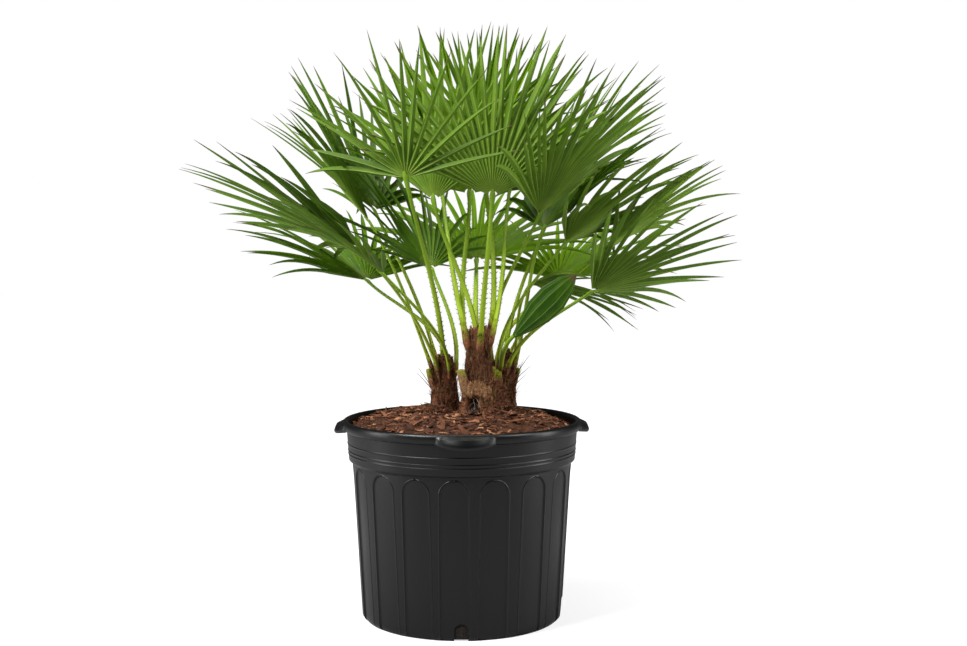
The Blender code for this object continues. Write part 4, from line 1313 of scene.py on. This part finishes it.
def fan_rows(frond, deep, rng):
    """Every blade of a fan with its rows of points, margins shared where joined."""
    count = blade_count(frond)
    step = 2 * frond.spread / count
    blades = [Blade(frond, (j + 0.5) * step - frond.spread, rng) for j in range(count)]
    split_rows(blades, deep, rng)
    wedge = math.tan(step / 2)
    for blade in blades:
        blade.left = blade.left or blade.right
        blade.right = blade.right or blade.left
        joined = max(blade.left, blade.right)
        start = JOINED_ROWS[joined] * frond.length
        starts = [JOINED_ROWS[k] * frond.length for k in (blade.left, blade.right)]
        reaches = [share * frond.length for share in JOINED_ROWS[:joined + 1]]
        reaches += [start + (blade.end - start) * share for share in FREE_ROWS]
        blade.rows = []
        for reach in reaches:
            halves = []
            for begin in starts:
                if reach <= begin + 1e-9:
                    halves.append(reach * wedge)
                else:
                    late = (reach - begin) / (blade.end - begin)
                    halves.append(begin * wedge * (0.97 * (1 - late ** 2.5) + 0.03) * (1 - 0.17 * min(1, 9 * late)))
            row, over = blade_row(blade, reach, *halves)
            blade.rows.append([reach, row, over])
    for one, other in zip(blades, blades[1:]):
        for k in range(one.right + 1):
            shared = (one.rows[k][1][-1] + other.rows[k][1][0]) / 2
            upward = unit(one.rows[k][2] + other.rows[k][2])
            one.rows[k][1][-1] = other.rows[k][1][0] = shared
            one.rows[k].append(upward)
            other.rows[k].insert(3, upward)
    return blades


def add_fan(shape, frond, rng):
    last = len(ACROSS) - 1
    deep = np.interp(JOINED_MORE * frond.joined, JOINED_ROWS, range(len(JOINED_ROWS)))
    blades = fan_rows(frond, deep, rng)
    age = rng.random()
    for number, blade in enumerate(blades):
        tops = []
        lows = []
        for k, (reach, row, over, *shared) in enumerate(blade.rows):
            thick = 0.0008 - 0.0004 * reach / blade.end
            top = []
            low = []
            for n, place in enumerate(row):
                away = over
                joined = False
                if n == 0 and k <= blade.left and number > 0:
                    away, joined = shared[0], True
                if n == last and k <= blade.right and number < len(blades) - 1:
                    away, joined = shared[-1], True
                carried = (reach / frond.length, reach / blade.end, ACROSS[n], 0.6 * blade.tone + 0.4 * age)
                if n in (0, last) and not joined:
                    mark = shape.point(place, *carried, 0.5, blade.dry, 0.0)
                    top.append(mark)
                    low.append(mark)
                else:
                    top.append(shape.point(place + away * thick / 2, *carried, 0.0, blade.dry, 0.0))
                    low.append(shape.point(place - away * thick / 2, *carried, 1.0, blade.dry, 0.0))
            tops.append(top)
            lows.append(low)
        for k in range(len(blade.rows) - 1):
            for c in range(last):
                shape.face(tops[k][c], tops[k][c + 1], tops[k + 1][c + 1], tops[k + 1][c])
                shape.face(lows[k + 1][c], lows[k + 1][c + 1], lows[k][c + 1], lows[k][c])
        for c in range(last):
            corners = dict.fromkeys((lows[-1][c], lows[-1][c + 1], tops[-1][c + 1], tops[-1][c]))
            shape.face(*corners)
        if 0 < number and tops[blade.left][0] != lows[blade.left][0]:
            shape.face(tops[blade.left][0], tops[blade.left + 1][0], lows[blade.left][0])
        if number < len(blades) - 1 and tops[blade.right][last] != lows[blade.right][last]:
            shape.face(lows[blade.right][last], tops[blade.right + 1][last], tops[blade.right][last])


print("fine blades:", sum(blade_count(frond) for frond in fronds))

# %% [markdown]
# ## Petioles and spines
# The leaf stalk is flat above and round below.  Both of its margins carry sharp
# spines that point forward, a little over one each centimetre.

# %% One petiole with its spines
def frame_at(frond, points, k):
    tangent = unit(points[min(k + 1, len(points) - 1)] - points[max(0, k - 1)])
    across = unit(frond.side - tangent * (frond.side @ tangent))
    return tangent, across, np.cross(tangent, across)


def add_petiole(shape, frond):
    count = 26
    points = frond.petiole_line(count)[:-1]
    points += [frond.hub + frond.along * 0.006 - frond.over * 0.0008,
               frond.hub + frond.along * 0.013 - frond.over * 0.0004]
    rings = []
    values = []
    for k, point in enumerate(points):
        tangent, across, over = frame_at(frond, points, k)
        share = min(1.0, k / (count - 1))
        half = PETIOLE_BASE - (PETIOLE_BASE - PETIOLE_END) * share
        half += 0.0022 * max(0.0, (share - 0.93) / 0.07) - 0.0003
        high = half_height(share)
        if k >= count:
            half *= (0.85, 0.45)[k - count]
            high = (0.0019, 0.0007)[k - count]
        ring = []
        carried = []
        for t in np.linspace(0, 2 * math.pi, 16, endpoint=False):
            x = math.copysign(abs(math.cos(t)) ** 0.75, math.cos(t))
            y = math.sin(t) * (0.80 - 0.25 * math.cos(t) ** 2 if math.sin(t) > 0 else 1.0)
            ring.append(point + across * half * x + over * high * y)
            carried.append((share, 0.0, x, 0.5, float(y < 0), 0.0, 1.0))
        rings.append(ring)
        values.append(carried)
    shape.tube(rings, values)


def add_spines(shape, frond, rng):
    points = frond.petiole_line(60)
    lengths = np.cumsum([0] + [np.linalg.norm(b - a) for a, b in zip(points, points[1:])])
    for hand in (-1, 1):
        place = FIRST_SPINE * rng.uniform(0.75, 0.95)
        while place < lengths[-1] - 0.012:
            k = min(len(points) - 2, int(np.searchsorted(lengths, place)) - 1)
            part = (place - lengths[k]) / (lengths[k + 1] - lengths[k])
            point = points[k] * (1 - part) + points[k + 1] * part
            tangent, across, over = frame_at(frond, points, k)
            share = place / lengths[-1]
            half = PETIOLE_BASE - (PETIOLE_BASE - PETIOLE_END) * share
            size = rng.uniform(0.75, 1.15) * (1 - 0.35 * share)
            root = point + across * hand * (half - 0.0007)
            rings = []
            values = []
            for step, (out, on, wide) in enumerate(((0, 0, 1.0), (0.0020, 0.0012, 0.55), (0.0046, 0.0040, 0.04))):
                middle = root + (across * hand * out + tangent * on) * size
                rings.append(circle(middle, tangent, over, 0.0016 * wide * size, 0.0010 * wide * size, 4))
                values.append((share, 0.0, 0.0, 0.5, 0.0, 0.0, 1.0 + 0.5 * step))
            shape.tube(rings, values)
            place += rng.uniform(0.0075, 0.0125)


print("spines stand about 10 mm apart on each margin")

# %% [markdown]
# ## Leaf green
# The upper side is a clear mid green and the under side greyer.  Ribs are pale,
# fine veins run along every blade, the fan pales towards its hub, and most tips
# are scorched.  The stalk goes from brown at its foot through yellow green to
# green.  A blade is thin, so some light passes through it.

# %% The leaf's finish
def leaf_green():
    finish = Finish("leaf_green", Specular_IOR_Level=0.15)
    along = finish.number("along")
    tip = finish.number("tip")
    across = finish.number("across")
    tone = finish.number("tone")
    under = finish.number("under")
    stalk = finish.number("stalk")
    cloud = finish.noise(22.0, 3.0)
    fine = finish.noise(240.0, 2.0)
    shade = tone * 1.0 + cloud * 0.7 - 0.32
    upper = finish.mix(shade, (0.011, 0.052, 0.0005), (0.165, 0.320, 0.002))
    lower = finish.mix(shade, (0.028, 0.080, 0.004), (0.150, 0.260, 0.022))
    blade = finish.mix(under.over(0.5, 0.2), upper, lower)
    veins = (across * 26.0).wave().over(0.75, 0.5) * 0.16
    blade = finish.mix(veins, blade, (0.220, 0.360, 0.040))
    rib = 1 - across.size().over(0.10, 0.12)
    inner = 1 - along.over(0.45, 0.5)
    blade = finish.mix(rib * (inner * 0.45 + 0.30), blade, (0.330, 0.480, 0.080))
    blade = finish.mix((1 - along.over(0.06, 0.12)) * 0.55, blade, (0.300, 0.400, 0.060))
    scorch = (tip + finish.number("dry") * 0.07 + fine * 0.03).over(0.975, 0.05)
    blade = finish.mix(scorch * 0.85, blade, (0.100, 0.070, 0.030))
    foot = 1 - (along + cloud * 0.08 - 0.04).over(0.085, 0.09)
    stem = finish.mix(along.over(0.45, 0.9), (0.270, 0.390, 0.010), (0.140, 0.280, 0.012))
    stem = finish.mix(tone * fine.over(0.5, 0.5) * 0.5, stem, (0.420, 0.480, 0.080))
    edge = across.size().over(0.86, 0.20) * (1 - along.over(0.55, 0.6)) * cloud.over(0.42, 0.3)
    stem = finish.mix(edge * 0.85, stem, (0.110, 0.034, 0.012))
    stem = finish.mix(foot * 0.95, stem, (0.085, 0.032, 0.014))
    stem = finish.mix(stalk.over(1.35, 0.3), stem, (0.080, 0.036, 0.016))
    colour = finish.mix(stalk.over(0.5, 0.1), blade, stem)
    rough = cloud * 0.12 + under * 0.10 + 0.42
    finish.feed(Base_Color=colour, Roughness=rough, Normal=finish.bump(veins * 0.6 + fine * 0.3, 0.2, 0.0006))
    return finish.thin((0.30, 0.50, 0.005), (1 - stalk.over(0.5, 0.1)) * 0.16)


leaf = leaf_green()


def make_frond(frond):
    rng = random.Random(500 + int(frond.name[-2:]))
    frond.tone = rng.random()
    shape = Shape(*LEAF_NUMBERS)
    add_fan(shape, frond, rng)
    add_petiole(shape, frond)
    add_spines(shape, frond, rng)
    piece = shape.piece("fine_" + frond.name, leaf, crease=62, weld=1e-6)
    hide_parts(frond.name)
    return piece


pieces = [make_frond(frond) for frond in fronds]


# %% [markdown]
# ## The unopened frond
# A young leaf comes up folded like a closed fan: a flat spindle with a pleat for
# every segment, on a round stalk.

# %% The folded leaf
def add_young(shape):
    foot = np.array(YOUNG_BASE)
    tip = np.array(YOUNG_TIP)
    along = unit(tip - foot)
    side = unit(np.cross(along, (0, 1, 0)))
    over = np.cross(along, side)
    stations = (-0.04, 0.04, 0.12, 0.25, 0.38, 0.50, 0.62, 0.74, 0.85, 0.93, 1.0)
    sizes = np.interp(stations, (-0.04, 0.12, 0.38, 0.62, 0.85, 1.0), (0.16, 0.50, 0.95, 1.0, 0.66, 0.12))
    rows = []
    for share, size in zip(stations, sizes):
        middle = foot + (tip - foot) * share
        row = []
        for k in range(60):
            angle = 2 * math.pi * k / 60
            crest = abs((k + 3) % 6 / 3 - 1)
            wide = YOUNG_HALF_WIDTH * size * (1.0 - 0.15 * crest)
            place = middle + side * wide * math.cos(angle) + over * 0.32 * wide * math.sin(angle)
            row.append(shape.point(place, 0.5 + 0.5 * share, share, crest, 0.0, 0.0, 0.5, 0.0))
        rows.append(row)
    for low, high in zip(rows, rows[1:]):
        for k in range(60):
            shape.face(low[k], low[(k + 1) % 60], high[(k + 1) % 60], high[k])
    shape.face(*reversed(rows[0]))
    shape.face(*rows[-1])


def add_young_stalk(shape):
    line = [np.array(p) for p in (YOUNG_FOOT, YOUNG_BEND, YOUNG_BASE)]
    rings = []
    values = []
    for t in np.linspace(0, 1, 20):
        point = line[0] * (1 - t) ** 2 + line[1] * 2 * t * (1 - t) + line[2] * t * t
        tangent = unit((line[1] - line[0]) * (1 - t) + (line[2] - line[1]) * t)
        side = unit(np.cross(tangent, (0, 1, 0)))
        radius = YOUNG_STALK + (YOUNG_STALK_END - YOUNG_STALK) * t
        rings.append(circle(point, side, np.cross(tangent, side), radius, radius, 12))
        values.append((t, 0.0, 0.0, 0.5, 0.0, 0.0, 1.0))
    shape.tube(rings, values)


shape = Shape(*LEAF_NUMBERS)
add_young(shape)
add_young_stalk(shape)
young_leaf = shape.piece("fine_young_frond", leaf, crease=50)
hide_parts("young_frond")

# %% [markdown]
# ## Stems
# The short trunks are hidden in the remains of old leaves: flat cut leaf bases
# in a spiral, torn sheaths, and brown fibre everywhere between.  Each stem is a
# rough core with three layers over it: bases, sheaths round the living petioles,
# and hundreds of strands, most of them lying on the core and some standing off.

# %% The core and the old leaf bases
STUBS = (
    ("centre", -62, 0.412, 0.055, 0.0115),
    ("centre", 118, 0.430, 0.040, 0.0090),
    ("right", -18, 0.408, 0.048, 0.0080),
    ("right", 100, 0.412, 0.045, 0.0085),
    ("left", -75, 0.415, 0.048, 0.0085),
    ("left", 165, 0.410, 0.044, 0.0090),
)
BIG_BASES = (
    ("centre", 24, 0.374, 0.042, 0.0105, 0.0042, (0.60, 0.20, 0.60)),
    ("centre", -60, 0.380, 0.046, 0.0110, 0.0050, (0.70, 0.10, 0.72)),
    ("centre", 2, 0.452, 0.050, 0.0120, 0.0020, (0.60, 0.00, 0.10)),
    ("centre", 42, 0.440, 0.046, 0.0110, 0.0022, (0.45, 0.00, 0.05)),
    ("left", 20, 0.380, 0.052, 0.0120, 0.0032, (0.55, 0.30, 0.35)),
    ("left", -30, 0.376, 0.046, 0.0110, 0.0030, (0.35, 0.10, 0.10)),
    ("right", -38, 0.384, 0.046, 0.0058, 0.0030, (0.80, 1.00, 0.10)),
    ("right", 40, 0.394, 0.036, 0.0060, 0.0030, (0.80, 0.95, 0.10)),
    ("right", 4, 0.380, 0.050, 0.0100, 0.0030, (0.65, 0.20, 0.40)),
)
STEM_NUMBERS = ("tone", "fresh", "tan")
SPIKES = {"left": (-82, -70, 60), "centre": (74, 88), "right": (62, 70, 78, 86, 96, -50)}
HOLLOW_AZIMUTH = -14
HOLLOW_HEIGHT = 0.402


def stem_girth(stem, height):
    """Radius of a stem's core, which narrows upward between the living leaf bases."""
    rise = (height - STEM_PLAIN) / (stem["top"] - STEM_PLAIN)
    return stem["radius"] * (1.02 - 0.46 * max(0.0, rise) ** 1.1)


def on_stem(stem, azimuth, height, lift=0.0):
    """Point on a stem's skin, at an azimuth in degrees from the front."""
    return stem_centre(stem, height) + np.array(around(stem_girth(stem, height) + lift, azimuth, 0.0))


def hollow(name, azimuth, height):
    """How deep a place lies in the dark hollow at the foot of the centre stem."""
    if name != "centre":
        return 0.0
    away = math.hypot((azimuth - HOLLOW_AZIMUTH + 180) % 360 - 180, (height - HOLLOW_HEIGHT) * 1300)
    return max(0.0, 1 - away / 27)


def add_core(shape, name, stem, rng):
    rings = []
    values = []
    swells = [(rng.uniform(0, 360), rng.uniform(STEM_PLAIN, stem["top"]), rng.uniform(0.001, 0.004))
              for _ in range(16)]
    for height in np.linspace(STEM_FOOT, stem["top"], 70):
        ring = []
        carried = []
        for k in range(56):
            azimuth = 360 * k / 56
            lift = -0.0010
            if height > STEM_PLAIN - 0.006:
                lift += rng.uniform(-0.0014, 0.0010)
                lift += 0.0060 * max(0.0, 1 - (height - STEM_PLAIN + 0.006) / 0.024) ** 1.5
                for turn, rise, size in swells:
                    apart = math.hypot(((azimuth - turn + 180) % 360 - 180) / 40, (height - rise) / 0.020)
                    lift += size * max(0.0, 1 - apart) ** 0.7
            deep = hollow(name, azimuth, height)
            ring.append(on_stem(stem, azimuth, height, lift - 0.011 * deep))
            # In the hollow the tone drops far below zero, so it shows black: painted shade in the hollow.
            carried.append((rng.uniform(0.0, 0.35) - 2 * deep, 0.0, 0.0))
        rings.append(ring)
        values.append(carried)
    girth = stem_girth(stem, stem["top"])
    for rise, inward in ((0.004, 0.22), (0.008, 0.55), (0.010, 0.88)):
        ring = []
        for k in range(56):
            lift = -girth * inward + rng.uniform(-0.001, 0.001)
            ring.append(on_stem(stem, 360 * k / 56, stem["top"], lift)
                        + UP * (rise + rng.uniform(-0.002, 0.002)))
        rings.append(ring)
        values.append((rng.uniform(-0.3, 0.1), 0.0, 0.0))
    shape.tube(rings, values)


def add_base(shape, stem, azimuth, foot, length, half, thick, lean, numbers, rng):
    """Old leaf base: a flat tapering scale that hugs its stem and is torn at the end."""
    out = np.array(around(1.0, azimuth, 0.0))
    side = np.cross(UP, out)
    rings = []
    girth = stem_girth(stem, foot)
    for share in (0.0, 0.2, 0.4, 0.6, 0.8, 0.92, 1.0):
        middle = on_stem(stem, azimuth, min(foot + length * share, stem["top"]),
                         -thick + lean * length * share ** 1.5)
        middle[2] = foot + length * share
        wide = half * (1.15 - 0.45 * share)
        ring = []
        for t in np.linspace(0, 2 * math.pi, 16, endpoint=False):
            x = math.cos(t)
            hug = girth * (1 - math.cos(wide / girth * x))
            jag = rng.uniform(-0.005, 0.003) if share == 1.0 else rng.uniform(-0.0006, 0.0006)
            ring.append(middle + side * wide * x + out * (thick * math.sin(t) - hug) + UP * jag)
        rings.append(ring)
    shape.tube(rings, [numbers] * len(rings))


def add_stub(shape, stem, azimuth, foot, length, radius, numbers, rng):
    """Stump of a cut leaf, which leans out of its stem and has a pale end."""
    out = np.array(around(1.0, azimuth, 0.0))
    root = stem_centre(stem, foot) + out * stem["radius"] * 0.72
    along = unit(UP + out * 0.30)
    side = unit(np.cross(UP, out))
    over = np.cross(along, side)
    rings = []
    values = []
    for share, size in ((0.0, 0.85), (0.2, 1.0), (0.4, 1.05), (0.6, 1.0), (0.8, 0.92), (0.97, 0.86), (1.0, 0.78)):
        middle = root + along * length * share
        ring = []
        for t in np.linspace(0, 2 * math.pi, 20, endpoint=False):
            rough = rng.uniform(-0.0006, 0.0006)
            ring.append(middle + side * (radius * size + rough) * math.cos(t)
                        + over * (0.7 * radius * size + rough) * math.sin(t))
        rings.append(ring)
        values.append((numbers[0] - 0.3 * (share < 0.3), numbers[1] * share, numbers[2]))
    shape.tube(rings, values)


def add_bases(shape, name, stem, rng):
    azimuth = rng.uniform(0, 360)
    height = STEM_PLAIN - 0.014
    while height < stem["top"] - 0.018:
        numbers = (rng.uniform(0.15, 0.75), rng.uniform(0.0, 0.45) ** 1.5, rng.uniform(0.0, 0.7))
        if hollow(name, azimuth % 360, height + 0.015) < 0.2:
            add_base(shape, stem, azimuth, height, rng.uniform(0.022, 0.042), rng.uniform(0.0065, 0.0110),
                     rng.uniform(0.0014, 0.0024), rng.uniform(0.0, 0.14), numbers, rng)
        azimuth += 137.5 + rng.uniform(-16, 16)
        height += (stem["top"] - STEM_PLAIN) / 22 * rng.uniform(0.7, 1.3)
    for owner, turn, foot, length, radius in STUBS:
        if owner == name:
            look = (0.65, 0.45, 0.75) if radius > 0.011 else (0.6, 0.55, 0.45)
            add_stub(shape, stem, turn, foot, length, radius, look, rng)
    for owner, turn, foot, length, half, thick, look in BIG_BASES:
        if owner == name:
            add_base(shape, stem, turn, foot, length, half, thick, 0.05, look, rng)


print("old leaf bases follow the golden angle")

# %% Sheaths and the torn ring
def add_sheath(shape, frond, rng):
    """Fibrous foot of a living petiole, which swells and then closes on it."""
    points = frond.petiole_line(60)[2:12]
    rings = []
    values = []
    for k, point in enumerate(points):
        tangent, across, over = frame_at(frond, points, k)
        share = k / (len(points) - 1)
        reach = (2 + k) / 59
        swell = math.sin(math.pi * share ** 0.75) ** 1.2
        half = PETIOLE_BASE - (PETIOLE_BASE - PETIOLE_END) * reach + 0.0005 * (1 - 2.6 * share) + 0.0013 * swell
        high = half_height(reach) + 0.0004 * (1 - 2.6 * share) + 0.0008 * swell
        ring = []
        for t in np.linspace(0, 2 * math.pi, 16, endpoint=False):
            jag = rng.uniform(-0.0003, 0.0004)
            ring.append(point + across * (half + jag) * math.cos(t) + over * (high + jag) * math.sin(t))
        rings.append(ring)
        values.append((rng.uniform(0.2, 0.7), 0.10 + 0.60 * share, 0.2))
    shape.tube(rings, values)


def add_torn_ring(shape, stem, rng):
    """Burlap-like sheath, torn open, that stands off the centre stem."""
    for layer in range(3):
        rows = []
        for k in range(41):
            azimuth = -70 + 125 * k / 40 + rng.uniform(-0.8, 0.8)
            slope = 0.010 * (0.5 - k / 40)
            low = 0.421 + slope + 0.004 * math.sin(k / 3.1 + layer) + rng.uniform(-0.006, 0.002)
            high = 0.439 + slope + 0.004 * math.sin(k / 4.3 + 2 * layer) + rng.uniform(-0.003, 0.006)
            row = []
            for n, share in enumerate((0.0, 0.25, 0.5, 0.75, 1.0)):
                height = low + (high - low) * share
                lift = (0.0016 + 0.0012 * layer + 0.0030 * math.sin(math.pi * share)
                        + rng.uniform(-0.0010, 0.0010))
                tan = rng.uniform(0.35, 1.0)
                row.append(shape.point(on_stem(stem, azimuth, height, lift), rng.uniform(0.2, 1.0), 0.0, tan))
            rows.append(row)
        for one, other in zip(rows, rows[1:]):
            for n in range(4):
                shape.face(one[n], other[n], other[n + 1], one[n + 1])
    for _ in range(90):
        start = rng.uniform(-80, 50)
        wind = rng.uniform(15, 50)
        low = rng.uniform(0.420, 0.447)
        rise = rng.gauss(0, 0.006)
        stand = rng.uniform(0.0045, 0.0085)
        points = []
        for share in np.linspace(0, 1, 7):
            points.append(on_stem(stem, start + wind * share, low + rise * share,
                                  stand * (1 - 0.4 * abs(share - 0.5))))
        strand(shape, points, rng.uniform(0.00025, 0.00055),
               (rng.uniform(0.0, 1.0), 0.0, rng.random() ** 0.8))


print("the torn ring has three ragged layers")

# %% Fibres and loose hairs
def add_fibres(shape, name, stem, count, rng):
    for _ in range(count):
        azimuth = rng.uniform(0, 360)
        low = rng.uniform(STEM_PLAIN - 0.006, stem["top"] - 0.012)
        length = rng.uniform(0.014, 0.050)
        wind = rng.gauss(0, 22)
        loose = rng.random() < 0.16
        stand = rng.uniform(0.004, 0.020) if loose else rng.uniform(0.0, 0.003)
        sag = rng.uniform(0.0, 0.5) * length if loose else 0.0
        points = []
        for share in np.linspace(0, 1, 6):
            height = min(low + length * share - sag * share ** 2, stem["top"] + 0.004)
            lift = 0.0010 + 0.0022 * math.sin(math.pi * share) * rng.random() + stand * share ** 2
            points.append(on_stem(stem, azimuth + wind * share, height, lift))
        numbers = (rng.uniform(-0.3, 1.0), 0.0, rng.random() ** 3)
        if hollow(name, azimuth % 360, low + 0.01) < 0.05:
            strand(shape, points, rng.uniform(0.00022, 0.00060), numbers)


def add_spikes(shape, stem, azimuths, rng):
    """Dead dark leaf tips that stand out of a stem."""
    for azimuth in azimuths:
        start = on_stem(stem, azimuth, rng.uniform(0.415, 0.435), -0.003)
        lean = around(rng.uniform(0.018, 0.040), azimuth + rng.gauss(0, 14), 0.0)
        rise = rng.uniform(0.030, 0.060)
        points = [start + lean * t + UP * (rise * t - 0.006 * t * t) for t in np.linspace(0, 1, 7)]
        strand(shape, points, rng.uniform(0.0008, 0.0013), (rng.uniform(-0.2, 0.3), 0.0, 0.0))


def add_hairs(shape, stem, rng):
    """White root hairs in and around the hollow."""
    for _ in range(5):
        azimuth = HOLLOW_AZIMUTH + rng.gauss(0, 16)
        start = on_stem(stem, azimuth, HOLLOW_HEIGHT + rng.uniform(-0.012, 0.016), rng.uniform(-0.004, 0.004))
        away = around(1.0, azimuth + rng.gauss(0, 40), 0.0)
        points = [start + away * 0.016 * t + UP * (rng.gauss(0, 0.0018) - 0.018 * t * t)
                  for t in np.linspace(0, 1, 7)]
        strand(shape, points, rng.uniform(0.00018, 0.00030), (1.0, 0.0, 3.0))


print("each strand is three-sided and tapers")

# %% The fibre's finish
def stem_fibre():
    finish = Finish("stem_fibre", Specular_IOR_Level=0.15)
    tone = finish.number("tone")
    fresh = finish.number("fresh")
    tan = finish.number("tan")
    streak = finish.noise(5.0, 4.0, 0.65, at=finish.stretched((75.0, 75.0, 12.0)))
    blotch = finish.noise(75.0, 4.0, 0.7)
    weave = finish.noise(5.0, 3.0, at=finish.stretched((45.0, 45.0, 110.0)))
    crumbs = finish.noise(270.0, 2.0, 0.6).over(0.5, 0.22)
    shade = tone * 0.45 + streak.over(0.5, 0.4) * 0.28 + blotch.over(0.5, 0.3) * 0.34 + crumbs * 0.26 - 0.18
    brown = finish.mix(shade.over(0.44, 0.66), (0.012, 0.005, 0.003), (0.300, 0.118, 0.055))
    pale = finish.mix((streak * 0.5 + weave * 0.5).over(0.5, 0.3), (0.120, 0.052, 0.020), (0.520, 0.310, 0.150))
    colour = finish.mix((tan + blotch * 0.9 - 0.45).over(0.60, 0.4), brown, pale)
    green = finish.mix(streak.over(0.5, 0.4), (0.130, 0.190, 0.006), (0.330, 0.440, 0.015))
    colour = finish.mix((fresh * 1.2 + blotch * 0.9 - 0.45).over(0.55, 0.34), colour, green)
    colour = finish.mix(tan.over(2.0, 0.5), colour, (0.40, 0.38, 0.33))
    return finish.feed(Base_Color=colour, Roughness=streak * 0.2 + 0.75,
                       Normal=finish.bump(streak + weave * 0.5 + crumbs * 0.6, 0.9, 0.0018))


fibre = stem_fibre()
for number, (name, stem) in enumerate(STEMS.items()):
    rng = random.Random(40 + number)
    shape = Shape(*STEM_NUMBERS)
    add_core(shape, name, stem, rng)
    add_bases(shape, name, stem, rng)
    for frond in fronds:
        if frond.stem_name == name:
            add_sheath(shape, frond, rng)
    add_fibres(shape, name, stem, 1500, rng)
    if name == "centre":
        add_torn_ring(shape, stem, rng)
        add_hairs(shape, stem, rng)
    add_spikes(shape, stem, SPIKES[name], rng)
    piece = shape.piece("fine_stem_" + name, fibre, crease=55)
    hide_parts("stem_" + name)

# %% [markdown]
# ## Floor
# The floor is plain and pale, so that it only catches the shadow.

finish = Finish("pale_floor", Roughness=0.9, Specular_IOR_Level=0.0, Emission_Strength=1.0)
finish.shader.inputs["Base Color"].default_value = (0.42, 0.42, 0.42, 1.0)
apart = finish.node("ShaderNodeVectorMath", {"operation": "LENGTH"}, output=1, _0=finish.place())
glow = finish.mix(apart.over(1.8, 2.4), (0.66, 0.66, 0.66), (0.97, 0.97, 0.97))
finish.feed(Emission_Color=finish.mix(finish.node("ShaderNodeLightPath"), (0.0, 0.0, 0.0), glow))
floor.data.materials.append(finish.material)
